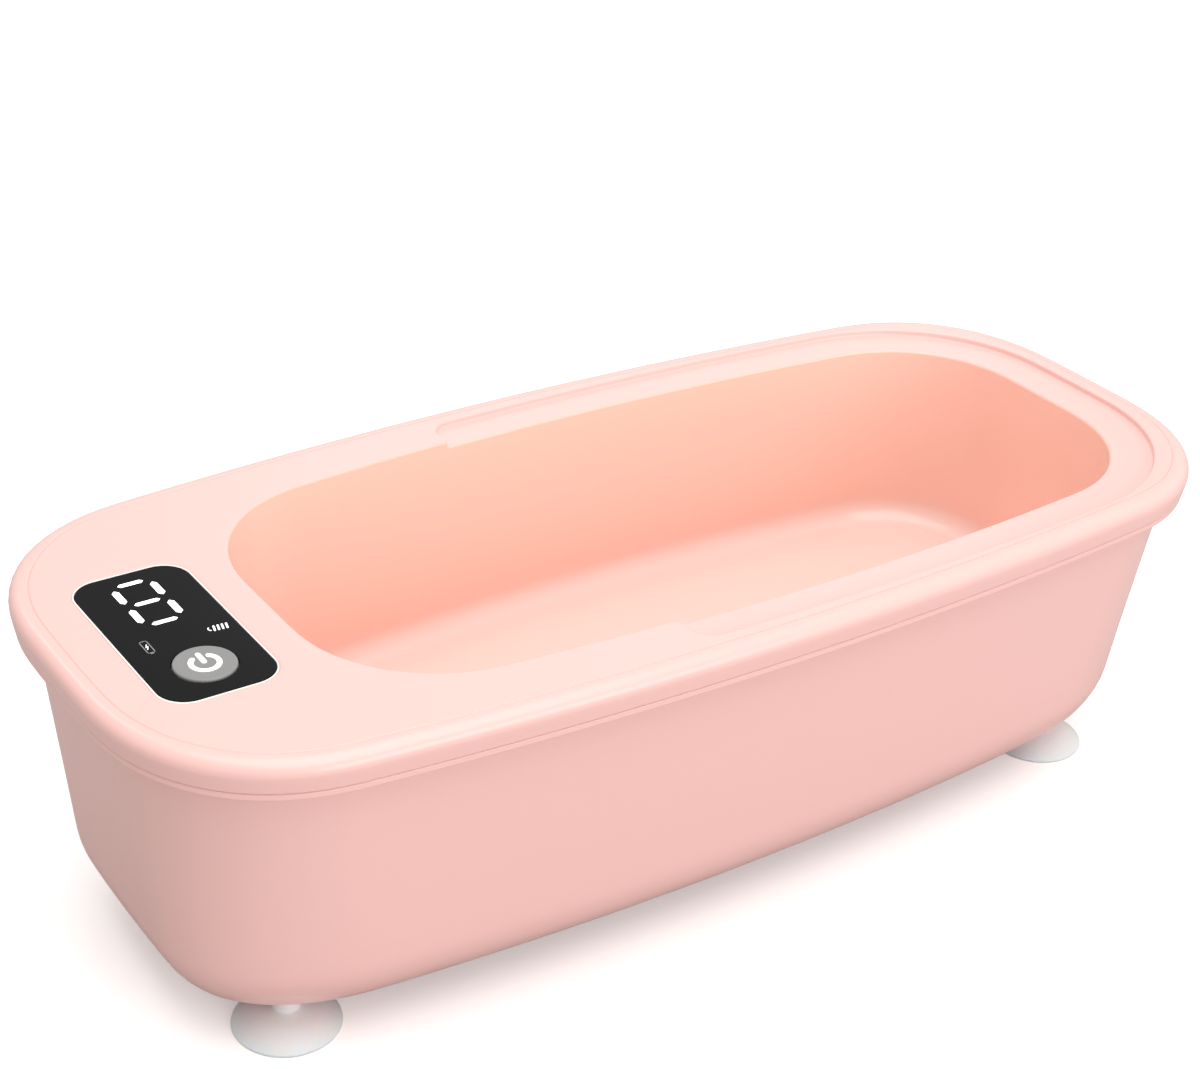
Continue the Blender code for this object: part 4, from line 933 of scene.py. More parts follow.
def mouth_rings(mouth, places, heights, s):
    """The tank's wall up to its edge, whose height differs between the ledge and the panel end."""
    foot, top = DECK - s.tank_depth + s.tank_fillet, DECK - s.mouth_edge
    slope, low = s.tank_draft / (top - foot), min(heights)
    rings = []
    for i in range(1, 8):
        z = foot + (low - s.mouth_edge * 2 - foot) * i / 8
        rings.append(mouth.inset((top - z) * slope).ring(places, z))
    for turn in arc(6):
        below, out = s.mouth_edge * (1 - math.sin(turn)), s.mouth_edge * (1 - math.cos(turn))
        levels = (low - below, DECK - below)
        sunk, full = (mouth.inset((top - z) * slope - out).ring(places, z) for z in levels)
        shares = [(height - low) / (DECK - low) for height in heights]
        rings.append([a.lerp(b, share) for a, b, share in zip(sunk, full, shares)])
    return rings


def deck_rings(mouth, rim, places, rim_places, heights, step, s):
    """From the mouth's edge over the ledge and its wall, and across the flat deck to the shoulder."""
    wall, reach = mouth.inset(-s.ledge_width, -s.ledge_end), 1.5 * MM
    rings = []
    for outset, least in [(-gap * MM, 0.0) for gap in LEDGE_GAPS] + [(d, DECK + h) for d, h in step]:
        ring = mouth.inset(-s.ledge_width - outset, -s.ledge_end - outset).ring(places, 0.0)
        rings.append([Vector((p.x, p.y, max(top, least))) for p, top in zip(ring, heights)])
    rounded_corners(rings, wall, rim.x0 + s.ledge_x, s.ledge_corner, reach)
    near, last = rings[-1], rim.inset(s.shoulder + 0.7 * MM).ring(rim_places, DECK)
    rings += [[a.lerp(b, i / 4) for a, b in zip(near, last)] for i in range(1, 4)]
    return rings + [last]


def rim_rings(rim, places, s):
    """The fine groove, the rounded shoulder, the side and the lower edge of the skirt, and its inner face."""
    rings = []
    groove, wide = s.shoulder + 0.5 * MM, 0.45 * MM
    for share in (0.0, 0.12, 0.3, 0.5, 0.7, 0.88):
        depth = s.groove * math.sin(math.pi * share) ** 2
        rings.append(rim.inset(groove - wide * share).ring(places, DECK - depth))
    drop, power = s.shoulder * 0.94, 0.88
    for turn in arc(12):
        across, down = math.sin(turn) ** power, 1 - max(math.cos(turn), 0.0) ** power
        rings.append(rim.inset(s.shoulder * (1 - across)).ring(places, DECK - drop * down))
    edge, side = 0.3 * MM, DECK - drop
    for share in (0.35, 0.7):
        rings.append(rim.inset(s.tuck * share).ring(places, side + (PARTING + edge - side) * share))
    for turn in arc(4):
        inset = s.tuck + edge * (1 - math.cos(turn))
        rings.append(rim.inset(inset).ring(places, PARTING + edge * (1 - math.sin(turn))))
    return rings + [rim.inset(s.skirt).ring(places, z) for z in (PARTING, DECK - s.deck_wall)]


def make_top_cover(s):
    rim, mouth = rim_plan(), mouth_plan()
    step = step_profile(s.ledge_depth)
    places, heights = cover_columns(mouth, rim.x0 + s.ledge_x, step)
    rim_places = opposite_places(mouth, places, rim)
    floor = DECK - s.tank_depth
    slope = math.atan(s.tank_draft / (s.tank_depth - s.tank_fillet))
    foot = mouth.inset(s.tank_draft - 0.02 * MM)
    tank = [mouth.inset(s.tank_draft + s.tank_fillet + 9 * MM).ring(places, floor)]
    tank += fillet_rings(foot, places, s.tank_fillet, floor, slope, steps=12)[::-1]
    tank += mouth_rings(mouth, places, heights, s)
    rings = tank + deck_rings(mouth, rim, places, rim_places, heights, step, s)
    rings += rim_rings(rim, rim_places, s)
    rings.append(mouth.inset(-s.tank_wall).ring(places, DECK - s.deck_wall))
    outer, radius = mouth.inset(s.tank_draft - s.tank_wall), s.tank_fillet + s.tank_wall
    rings += fillet_rings(outer, places, radius, floor - s.tank_wall, slope, steps=6)
    slots = [1] * (len(tank) - 4)  # the upper half of the mouth's edge has the shell's finish
    cover = lofted("top_cover_shell", rings, [finish_of("shell"), finish_of("tank")], slots=slots)
    cut_lens_seat(cover, s)
    even_normals(cover)
    place_on(cover, BODY, "shell_plastic", "top_cover")


BOSS_HEIGHT, BOSS_RADIUS = 8.4 * MM, 3.0 * MM  # the height is measured down from the screw's tip
SCREW_HOLE = 1.55 * MM


def cut_lens_seat(cover, s):
    """The recess for the window, with a rounded upper edge, the hole behind it and the screw bosses."""
    corner = bpy.context.scene.cleaner_display.corner
    wide, long = LENS_HIGH.x - LENS_LOW.x, LENS_HIGH.y - LENS_LOW.y

    def seat(offset):
        out = 0.38 * MM + offset
        return rounded_rectangle(wide + 2 * out, long + 2 * out, corner + out, 8)

    combine(cover, [flared(seat, LENS_LOW.z - GAP, DECK, 0.3 * MM, PANEL_X)], "DIFFERENCE")
    rest = 1.5 * MM
    opening = rounded_rectangle(wide - 2 * rest, long - 2 * rest, corner - rest)
    low = DECK - s.deck_wall - MM
    combine(cover, [[raised(opening, z, PANEL_X) for z in (low, LENS_LOW.z)]], "DIFFERENCE")
    bosses, pilots = [], []
    for name in CORNERS:
        x, y = middle_of(f"housing_screw_{name}")
        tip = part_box(f"housing_screw_{name}")[1].z
        foot = tip - BOSS_HEIGHT
        bosses.append(post(x, y, BOSS_RADIUS, foot, DECK - s.tank_depth - MM))
        pilots.append(post(x, y, SCREW_HOLE, foot - MM, tip + GAP))
    combine(cover, bosses, "UNION")
    combine(cover, pilots, "DIFFERENCE")


# ---------------------------------------------------------------- lower housing

INNER_FLOOR = HOUSING_LOW.z + 1.2 * MM  # inside the floor, so that what stands on it joins it


def housing_rings(h, places):
    """Outer and inner faces, from the middle of the underside round to the inner floor."""
    rim, foot = rim_plan(), foot_plan()
    upper = rim.inset(h.top_inset)
    under, top = HOUSING_LOW.z, HOUSING_HIGH.z - h.tongue + h.parting
    lip_low = top - h.parting - h.lip
    slope = math.atan((h.end_inset - h.top_inset) / (lip_low - under - h.fillet))
    rings = [foot.inset(h.fillet + 6 * MM).ring(places, under)]
    rings += fillet_rings(foot, places, h.fillet, under, slope, steps=14)[::-1]
    fillet_top, wall_top = rings[-1], upper.ring(places, lip_low - 0.5 * MM)
    rings += [[a.lerp(b, i / 8) for a, b in zip(fillet_top, wall_top)] for i in range(1, 8)]
    rings.append(wall_top)
    for turn in arc(3):
        inset = h.top_inset - 0.4 * MM * (1 - math.cos(turn))
        rings.append(rim.inset(inset).ring(places, lip_low - 0.4 * MM * (1 - math.sin(turn))))
    edge = 0.25 * MM
    for turn in arc(3):
        inset = h.lip_inset + edge * (1 - math.sin(turn))
        rings.append(rim.inset(inset).ring(places, lip_low + edge * (1 - math.cos(turn))))
    for turn in arc(3):
        inset = h.lip_inset + edge * (1 - math.cos(turn))
        rings.append(rim.inset(inset).ring(places, top - edge * (1 - math.sin(turn))))
    tongue = rim.inset(2.6 * MM)
    rings += [tongue.ring(places, top), tongue.ring(places, HOUSING_HIGH.z)]
    rings.append(upper.inset(h.wall).ring(places, HOUSING_HIGH.z))
    rings.append(upper.inset(h.wall).ring(places, lip_low))
    rings += fillet_rings(foot, places, h.fillet - h.wall, under + h.wall, slope, h.wall, 8)
    return rings


def flap_recess():
    """Cutters for the flap's recess and the socket's slot, and the block that the slot runs through."""
    middle_x, middle_z = (FLAP_LOW.x + FLAP_HIGH.x) / 2, (FLAP_LOW.z + FLAP_HIGH.z) / 2
    wide, tall = FLAP_HIGH.x - FLAP_LOW.x, FLAP_HIGH.z - FLAP_LOW.z
    wall = foot_plan().side(middle_x)

    def outline(size_x, size_z, radius, y):
        points = rounded_rectangle(size_x, size_z, radius)
        return [Vector((middle_x + x, y, middle_z + z)) for x, z in points]

    recess = [outline(wide + 2 * GAP, tall + 2 * GAP, 0.6 * MM, y) for y in (wall + 4 * MM, FLAP_LOW.y - GAP)]
    socket_x, socket_z = SOCKET_HIGH.x - SOCKET_LOW.x, SOCKET_HIGH.z - SOCKET_LOW.z
    ys = FLAP_LOW.y, FLAP_LOW.y - 8 * MM
    slot = [outline(socket_x + 2 * GAP, socket_z + 2 * GAP, socket_z / 2, y) for y in ys]
    ys = FLAP_LOW.y, FLAP_LOW.y - 4 * MM
    surround = [outline(socket_x + 8 * MM, socket_z + 4.6 * MM, MM, y) for y in ys]
    return recess, slot, surround


def turned_bore(x, y, mouth, depth, shank):
    """A bore in the underside with a rounded mouth, narrower above its depth."""
    under, edge = HOUSING_LOW.z, 0.4 * MM
    profile = [(mouth + 1.2 * MM, under - 0.9 * MM)]
    for turn in arc(4)[:0:-1]:
        profile.append((mouth + edge * (1 - math.cos(turn)), under + edge * (1 - math.sin(turn))))
    profile.append((mouth, under + depth))
    if shank < mouth:
        profile.append((shank, under + depth))
    profile.append((shank, under + 9.9 * MM))
    return turned_rings(profile, x, y, 28)


def under_bores():
    """Bores for the screws, in pads that stand on the housing's floor, and bores for the feet's necks."""
    pads, bores = [], []
    for place in CORNERS:
        x, y = middle_of(f"housing_screw_{place}")
        pads.append(post(x, y, 3.6 * MM, INNER_FLOOR, HOUSING_LOW.z + 8.4 * MM))
        bores.append(turned_bore(x, y, 3.0 * MM, 3.5 * MM, SCREW_HOLE))
        bores.append(turned_bore(*middle_of(f"suction_foot_{place}"), 2.6 * MM, 6.5 * MM, 2.6 * MM))
    return pads, bores


def standoffs():
    """The posts under the driver board, and the holes in them for its screws."""
    posts, pilots = [], []
    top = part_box("driver_board")[0].z - GAP
    for k in range(4):
        x, y = middle_of(f"driver_board_screw_{k + 1}")
        posts.append(post(x, y, 2.8 * MM, INNER_FLOOR, top))
        pilots.append(post(x, y, 1.25 * MM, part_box(f"driver_board_screw_{k + 1}")[0].z, top + MM))
    return posts, pilots


def make_lower_housing(h):
    """The tub, with the screws' pads and the boards' posts joined to it, then cut for what passes through."""
    places = even_places(28, 40, 12)
    housing = lofted("lower_housing_shell", housing_rings(h, places), [finish_of("shell")])
    recess, slot, surround = flap_recess()
    pads, bores = under_bores()
    posts, pilots = standoffs()
    for added in (pads, posts, [surround]):
        combine(housing, added, "UNION")
    for cut in ([recess], [slot], bores, pilots):
        combine(housing, cut, "DIFFERENCE")
    even_normals(housing)
    place_on(housing, BODY, "shell_plastic", "lower_housing")


def make_rim_gasket():
    """A silicone ring with two sealing beads on its upper face."""
    rim, places = rim_plan().inset(2.9 * MM), even_places(20, 24, 8)
    wide, low, high = 1.6 * MM, SEAL_LOW.z, SEAL_HIGH.z - 0.25 * MM
    rings = [rim.ring(places, low), rim.ring(places, high)]
    for i in range(1, 16):
        share = i / 16
        bead = 0.25 * MM * abs(math.sin(2 * math.pi * share))
        rings.append(rim.inset(wide * share).ring(places, high + bead))
    rings += [rim.inset(wide).ring(places, high), rim.inset(wide).ring(places, low)]
    gasket = lofted("rim_gasket", rings, [finish_of("silicone")], loop=True)
    place_on(even_normals(gasket), BODY, "milky_silicone", "rim_seal")


# ---------------------------------------------------------------- display and key


def plate_rings(outline_at, low, high, edge, x=0.0, y=0.0):
    """A flat plate with a rounded upper edge."""
    rings = [raised(outline_at(-0.1 * MM), low, x, y), raised(outline_at(0.0), low + 0.1 * MM, x, y)]
    for turn in arc(5):
        inset, down = edge * (1 - math.cos(turn)), edge * (1 - math.sin(turn))
        rings.append(raised(outline_at(-inset), high - down, x, y))
    return rings


def make_window(d):
    wide, long = LENS_HIGH.x - LENS_LOW.x, LENS_HIGH.y - LENS_LOW.y

    def outline_at(offset):
        return rounded_rectangle(wide + 2 * offset, long + 2 * offset, d.corner + offset, 10)

    rings = plate_rings(outline_at, LENS_LOW.z, LENS_HIGH.z, d.edge, PANEL_X)
    window = lofted("display_window", rings, [finish_of("window")])
    radius = bpy.context.scene.cleaner_key.radius + 0.2 * MM

    def hole(offset):
        return circle(radius + offset, 64)

    combine(window, [flared(hole, LENS_LOW.z - MM, LENS_HIGH.z, 0.15 * MM, *KEY_CENTRE)], "DIFFERENCE")
    place_on(even_normals(window), BODY, "lens_plastic", "display_lens")
    make_window_highlight_bead(d, outline_at)


def make_window_highlight_bead(d, outline_at):
    """A thin pale bead in the gap round the window, rounded on top: a painted highlight for the light that
    the recess's edge catches.
    """
    low, high = LENS_LOW.z + 0.02 * MM, DECK - 0.04 * MM
    inner, outer, edge = 0.03 * MM, d.rim, d.rim / 3
    rings = [raised(outline_at(inner), low, PANEL_X), raised(outline_at(outer), low, PANEL_X)]
    for start, way, turns in ((outer, -1, arc(4)), (inner, 1, arc(4)[::-1])):
        for turn in turns:
            out = start + way * edge * (1 - math.cos(turn))
            rings.append(raised(outline_at(out), high - edge * (1 - math.sin(turn)), PANEL_X))
    rim = lofted("window_highlight_bead", rings, [finish_of("rim")], loop=True)
    place_on(even_normals(rim), BODY, "white_plastic")


def add_plate(bm, points, low, high, edge):
    """A thin plate whose upper edge is drawn in a little towards its middle."""
    middle = sum((Vector(p) for p in points), Vector((0, 0))) / len(points)
    drawn_in = [Vector(p) - (Vector(p) - middle).normalized() * edge for p in points]
    add_skin(bm, [raised(points, low), raised(points, high - edge), raised(drawn_in, high)])


def segment_outline(x, y, length, width, upright):
    """A segment's six-sided outline, with points at its two ends."""
    half, side = length / 2, width / 2
    flat = half - side
    points = [(half, 0), (flat, side), (-flat, side), (-half, 0), (-flat, -side), (flat, -side)]
    return [(x - q, y + p) if upright else (x + p, y + q) for p, q in points]


def make_digit(d):
    """A lit figure eight of seven separate segments, of which the level ones are thinner."""
    bm = bmesh.new()
    wide, tall = d.digit_width, d.digit_height
    long_x, long_y = wide - 2 * d.segment_gap, tall / 2 - 2 * d.segment_gap
    base = LENS_HIGH.z + PROUD
    marks = [(0.0, side * tall / 2, long_x, False) for side in (-1, 0, 1)]
    marks += [(sx * wide / 2, sy * tall / 4, long_y, True) for sx in (-1, 1) for sy in (-1, 1)]
    for x, y, length, upright in marks:
        width = d.segment * (1.0 if upright else 0.82)
        outline = segment_outline(PANEL_X + x, d.digit_y + y, length, width, upright)
        add_plate(bm, outline, base, base + d.ink, 0.01 * MM)
    place_on(piece("digit_segments", bm, [finish_of("lit")]), BODY, "white_plastic")


def stroke(points, width, round_steps=6):
    """Outline of a line of this width with round ends, along the points."""
    left, right = [], []
    for i, point in enumerate(points):
        before, after = points[max(i - 1, 0)], points[min(i + 1, len(points) - 1)]
        along = Vector((after[0] - before[0], after[1] - before[1])).normalized()
        across = Vector((-along.y, along.x)) * width / 2
        left.append(Vector(point) + across)
        right.append(Vector(point) - across)
    ends = []
    for near, far in ((points[-1], points[-2]), (points[0], points[1])):
        heading = math.atan2(near[1] - far[1], near[0] - far[0])
        turns = arc(round_steps, heading - QUARTER, heading + QUARTER)[1:-1]
        ends.append([Vector(near) + Vector((math.cos(t), math.sin(t))) * width / 2 for t in turns])
    return [tuple(p) for p in right + ends[0] + left[::-1] + ends[1]]


def draw_marks(name, lines, d, finish):
    """Thin raised strokes on the window; a line is its points, in mm from the panel's middle, and width."""
    bm = bmesh.new()
    base = LENS_HIGH.z + PROUD
    for points, width in lines:
        outline = stroke([(PANEL_X + x * MM, y * MM) for x, y in points], width * MM)
        add_plate(bm, outline, base, base + d.ink, 0.005 * MM)
    place_on(piece(name, bm, [finish_of(finish)]), BODY, "white_plastic")


def make_icons(d):
    """A level mark of slanting bars, and a small battery outline with a bolt in it."""
    lines = []
    for k in range(4):
        along, down = 0.68 * k, 0.05 * k
        lines.append(([(5.4 + along, -3.2 - down), (5.72 + along, -1.95 - down)], 0.34))
    lines.append(([(4.9 + 0.28 * math.cos(t), -2.5 + 0.45 * math.sin(t)) for t in arc(6, 1.9, 4.6)], 0.2))
    draw_marks("level_icon", lines, d, "print")

    left, right, low, high, cut, width = -6.05, -4.9, -4.2, -1.05, 0.2, 0.15
    outline = [(left, high), (left, low), (left + cut, low - cut), (right - cut, low - cut)]
    outline += [(right, low), (right, high), (right - cut, high + cut), (left + cut, high + cut)]
    lines = [((a, b), width) for a, b in zip(outline, outline[1:] + outline[:1])]
    lines.append((((-5.7, low - 0.45), (-5.25, low - 0.45)), width))
    draw_marks("battery_icon", lines, d, "dim")
    bolt = ([(-5.3, -1.95), (-5.66, -2.72)], 0.16), ([(-5.29, -2.52), (-5.65, -3.3)], 0.16)
    draw_marks("battery_bolt", bolt, d, "print")


def make_power_key(k):
    """The cap is slightly hollow, and its flange and stem reach under the window."""
    top, out, edge, chamfer = KEY_HIGH.z, k.radius + k.flange, 0.3 * MM, 0.1 * MM
    flange_high = LENS_LOW.z - GAP
    flange_low = flange_high - k.flange_thick
    profile = [(k.stem, KEY_LOW.z), (k.stem, flange_low), (out - chamfer, flange_low)]
    profile += [(out, flange_low + chamfer), (out, flange_high - chamfer)]
    profile += [(out - chamfer, flange_high), (k.radius, flange_high)]
    profile += [(k.radius - edge * (1 - math.cos(t)), top - edge * (1 - math.sin(t))) for t in arc(5)]
    hollow = k.radius - edge - 0.15 * MM
    for share in (1.0, 0.85, 0.65, 0.4, 0.15):
        profile.append((hollow * share, top - k.dish * (1 - share**2)))
    cap = lofted("power_key_cap", turned_rings(profile, *KEY_CENTRE, 72), [finish_of("key")])
    place_on(even_normals(cap), KEY, "key_plastic", "power_button")


def make_power_symbol(k):
    """A ring open at the top, with an upright bar in the opening, set into the cap."""
    x, y = KEY_CENTRE
    turns = arc(28, k.gap, FULL - k.gap)[::-1]
    ring = [(x + k.symbol * math.sin(t), y + k.symbol * math.cos(t)) for t in turns]
    bar = [(x, y + 0.35 * MM), (x, y + k.symbol + 0.45 * MM)]
    low, high = KEY_HIGH.z - k.dish - 0.15 * MM, KEY_HIGH.z + 0.02 * MM
    bm = bmesh.new()
    for points in (ring, bar):
        outline = stroke(points, k.stroke, 8)
        add_skin(bm, [raised(outline, low), raised(outline, high)])
    place_on(piece("power_symbol", bm, [finish_of("print")]), KEY, "white_plastic")


# ---------------------------------------------------------------- feet, port and screws


def make_foot(name, f):
    """A suction cup whose neck runs up into the housing, and ends in a rounded head."""
    node = f"suction_foot_{name}"
    low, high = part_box(node)
    radius, dome = (high.x - low.x) / 2, HOUSING_LOW.z - low.z - GAP
    profile = []
    for share in arc(9, 0.0, 1.0)[:-1]:
        hollow = (dome - f.wall) * (1 - share**2.2)
        profile.append((radius * (0.04 + 0.86 * share), low.z + hollow))
    profile += [(radius - 0.35 * MM, low.z), (radius - 0.08 * MM, low.z + 0.05 * MM)]
    profile += [(radius, low.z + 0.2 * MM), (radius - 0.06 * MM, low.z + f.lip)]
    for share in arc(9, 0.0, 1.0)[1:-1]:
        rise = (dome - f.lip - 0.4 * MM) * (1 - (1 - share) ** 1.7)
        profile.append(((1 - share) * radius + share * (f.neck + 0.9 * MM), low.z + f.lip + rise))
    profile += [(f.neck + 0.3 * MM, low.z + dome - 0.15 * MM), (f.neck, low.z + dome)]
    under, wide, tall = high.z - 2.2 * MM, f.neck + f.head, 2.0 * MM
    profile += [(f.neck, under - 0.15 * MM), (wide - 0.1 * MM, under)]
    for turn in arc(6):
        profile.append((max(wide * math.cos(turn), 0.25 * MM), under + 0.2 * MM + tall * math.sin(turn)))
    foot = lofted(f"{node}_cup", turned_rings(profile, *middle_of(node), 64), [finish_of("silicone")])
    place_on(even_normals(foot), BODY, "milky_silicone", node)


def flap_outline(inset, z):
    """The flap seen from above: a barrel at the hinge, and small corners at the free end."""
    radius, corner = (FLAP_HIGH.y - FLAP_LOW.y) / 2, 0.4 * MM
    arcs = (
        (FLAP_LOW.x + radius, FLAP_HIGH.y - radius, radius - inset, arc(10, QUARTER, 3 * QUARTER)),
        (FLAP_HIGH.x - inset - corner, FLAP_LOW.y + inset + corner, corner, arc(4, -QUARTER, 0)),
        (FLAP_HIGH.x - inset - corner, FLAP_HIGH.y - inset - corner, corner, arc(4)),
    )
    return [Vector((x + r * math.cos(t), y + r * math.sin(t), z)) for x, y, r, turns in arcs for t in turns]


def make_flap(p):
    """A silicone flap with a barrel at its hinge, rounded edges and a finger grip."""
    low, high = FLAP_LOW.z, FLAP_HIGH.z
    rings = [flap_outline(p.edge * (1 - math.sin(t)), low + p.edge * (1 - math.cos(t))) for t in arc(4)]
    rings += [flap_outline(p.edge * (1 - math.cos(t)), high - p.edge * (1 - math.sin(t))) for t in arc(4)]
    flap = lofted("charging_port_flap", rings, [finish_of("silicone")])
    face, grip_x, middle = FLAP_HIGH.y, FLAP_HIGH.x - 2.6 * MM, (low + high) / 2
    grip = []
    for turn in arc(5):
        wide, tall = 1.5 * MM * math.cos(turn) + 0.2 * MM, 3.4 * MM * math.cos(turn) + 0.8 * MM
        points = rounded_rectangle(wide, tall, wide / 2 - 0.02 * MM)
        y = face + p.grip * math.sin(turn)
        grip.append([Vector((grip_x + x, y, middle + z)) for x, z in points])
    base = [Vector((v.x, face - 0.4 * MM, v.z)) for v in grip[0]]
    combine(flap, [[base] + grip], "UNION")
    place_on(even_normals(flap), FLAP, "milky_silicone", "charging_port_cover")


def facing_y(points, y, x=0.0, z=0.0):
    """An outline that faces along Y, placed by its distance from the middle of the charging socket."""
    x0, z0 = (SOCKET_LOW.x + SOCKET_HIGH.x) / 2 + x, (SOCKET_LOW.z + SOCKET_HIGH.z) / 2 + z
    return [Vector((x0 + px, y, z0 + pz)) for px, pz in points]


def make_socket(p):
    """A pill-shaped metal shell, open at the front, round a tongue with two rows of contacts."""
    wide, tall = SOCKET_HIGH.x - SOCKET_LOW.x, SOCKET_HIGH.z - SOCKET_LOW.z
    front, back, edge = SOCKET_HIGH.y, SOCKET_LOW.y, 0.1 * MM
    floor, tip = back + 1.2 * MM, front - 1.1 * MM

    def pill(less, y):
        points = rounded_rectangle(wide - less, tall - less, (tall - less) / 2 - 0.001 * MM, 10)
        return facing_y(points, y)

    rings = [pill(0.6 * MM, back), pill(0.0, back + 0.3 * MM), pill(0.0, front - edge), pill(edge, front)]
    rings += [pill(2 * p.shell - edge, front), pill(2 * p.shell, front - edge), pill(2 * p.shell, floor)]
    shell = lofted("charging_socket_shell", rings, [finish_of("steel")])
    place_on(even_normals(shell), BODY, "screw_steel", "charging_socket")

    half = wide / 2 - p.shell - 1.0 * MM
    points = rounded_rectangle(2 * half, p.tongue, 0.15 * MM)
    tongue = lofted("socket_tongue", [facing_y(points, y) for y in (floor, tip)], [finish_of("dark")])
    place_on(tongue, BODY, "dark_plastic")

    bm = bmesh.new()
    pitch = 2 * half / (p.contacts + 1)
    points = rounded_rectangle(pitch * 0.55, 0.06 * MM, 0.02 * MM, 2)
    for k in range(p.contacts):
        for side in (-1, 1):
            x, z = pitch * (k + 1) - half, side * (p.tongue / 2 + 0.02 * MM)
            add_skin(bm, [facing_y(points, y, x, z) for y in (floor + 0.2 * MM, tip - 0.3 * MM)])
    place_on(piece("socket_contacts", bm, [finish_of("gold")]), BODY, "screw_steel")


@dataclass(frozen=True)
class Screw:
    """Head and core of a pan-head screw, and how its thread compares with a housing screw's."""

    head: float
    head_height: float
    core: float
    thread_share: float


HOUSING_SCREW = Screw(2.7 * MM, 2.1 * MM, 1.25 * MM, 1.0)
BOARD_SCREW = Screw(2.1 * MM, 1.4 * MM, 0.95 * MM, 0.75)
SCREW_SIDES = 26


def head_rings(kind):
    """Rings of (x, y, z) from the top of the head, at height 0, along the screw to the core."""
    head, tall = kind.head, kind.head_height
    profile = [(0.02 * MM, 0.0), (head * 0.45, 0.0), (head * 0.72, 0.06 * tall)]
    profile += [(head * (0.72 + 0.28 * math.sin(t)), tall * (0.55 - 0.49 * math.cos(t))) for t in arc(5)]
    profile += [(head, tall * 0.96), (head * 0.97, tall), (kind.core, tall)]
    return [raised(circle(r, SCREW_SIDES), z) for r, z in profile]


def thread_rings(kind, length, c):
    """Rings of a helical thread, eight to a turn, which tapers to the screw's tip."""
    depth, pitch = c.thread * kind.thread_share, c.pitch * kind.thread_share
    shank = length - kind.head_height
    steps = max(int(shank / pitch * 8), 8)
    rings = []
    for i in range(1, steps + 1):
        below = shank * i / steps
        taper = min(1.0, (shank - below) / (1.2 * MM) * 0.7 + 0.3)
        ring = []
        for turn in arc(SCREW_SIDES, 0, FULL)[:-1]:
            phase = (below / pitch - turn / FULL) % 1
            crest = max(0.0, 1 - abs(phase - 0.5) * 4)
            r = max((kind.core - depth * (1 - crest)) * taper, 0.1 * MM)
            ring.append(Vector((r * math.cos(turn), r * math.sin(turn), kind.head_height + below)))
        rings.append(ring)
    return rings


def make_screw(node, kind, head_up, c):
    """A pan-head screw with a cross recess and a helical thread, in the box of its CAD node."""
    low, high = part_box(node)
    x, y = middle_of(node)
    start, way = (high.z, -1) if head_up else (low.z, 1)
    rings = head_rings(kind) + thread_rings(kind, high.z - low.z, c)
    placed = [[Vector((x + p.x, y + p.y, start + way * p.z)) for p in ring] for ring in rings]
    screw = lofted(f"{node}_threaded", placed, [finish_of("steel")])
    reach, wide = kind.head * c.recess * 2, 0.24 * kind.head
    for size_x, size_y in ((reach, wide), (wide, reach)):
        points = rounded_rectangle(size_x, size_y, 0.05 * MM, 2)
        deep = [(px * 0.5, py * 0.5) for px, py in points]
        above, below = start - way * 0.3 * MM, start + way * kind.head_height * 0.6
        combine(screw, [[raised(points, above, x, y), raised(deep, below, x, y)]], "DIFFERENCE")
    place_on(even_normals(screw), BODY, "screw_steel", node)


# ---------------------------------------------------------------- inside


INSIDE_FINISHES = {
    "battery_cell": "foil",
    "battery_lead_negative": "dark",
    "battery_lead_positive": "red",
    "battery_pad": "foam",
    "battery_socket": "white",
    "choke": "ferrite",
    "control_board": "board",
    "control_cable_socket": "white",
    "control_chip": "dark",
    "display_module": "white",
    "driver_board": "board",
    "film_capacitor": "film",
    "icon_led_1": "white",
    "icon_led_2": "white",
    "icon_light_guide": "white",
    "panel_cable": "dark",
    "panel_cable_socket": "white",
    "piezo_disc": "ceramic",
    "power_transistor": "dark",
    "storage_capacitor": "dark",
    "switch_body": "dark",
    "switch_plunger": "dark",
    "transducer_lead_centre": "red",
    "transducer_lead_edge": "blue",
    "transducer_plate": "steel",
    "transducer_socket": "white",
    "transformer_core": "ferrite",
    "transformer_winding": "winding",
}


def finish_inside():
    """Gives each carried-over CAD node its procedural material."""
    for node, finish in INSIDE_FINISHES.items():
        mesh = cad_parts[node].data
        mesh.materials.clear()
        mesh.materials.append(finish_of(finish))


# ---------------------------------------------------------------- stage


def add_area(name, place, target, wide, tall, power, colour):
    """A rectangular light that faces its target."""
    light = bpy.data.lights.new(name, "AREA")
    light.shape = "RECTANGLE"
    light.size, light.size_y = wide, tall
    light.energy = power
    light.color = colour
    made = bpy.data.objects.new(name, light)
    made.location = place
    made.rotation_euler = (Vector(target) - Vector(place)).to_track_quat("-Z", "Y").to_euler()
    bpy.context.scene.collection.objects.link(made)


def make_camera(g):
    """Looks along the heading and height, rolled about its own axis."""
    az, el = g.heading, g.height
    back = Vector((math.sin(az) * math.cos(el), -math.cos(az) * math.cos(el), math.sin(el)))
    level = (-back).cross(Vector((0, 0, 1))).normalized()
    upright = level.cross(-back)
    right = level * math.cos(g.roll) + upright * math.sin(g.roll)
    up = upright * math.cos(g.roll) - level * math.sin(g.roll)
    data = bpy.data.cameras.new("camera")
    data.lens = g.lens
    data.sensor_fit = "HORIZONTAL"
    data.sensor_width = 36.0
    data.clip_start = 0.01
    made = bpy.data.objects.new("camera", data)
    made.matrix_world = Matrix.Translation(g.place) @ Matrix((right, up, back)).transposed().to_4x4()
    bpy.context.scene.collection.objects.link(made)
    bpy.context.scene.camera = made


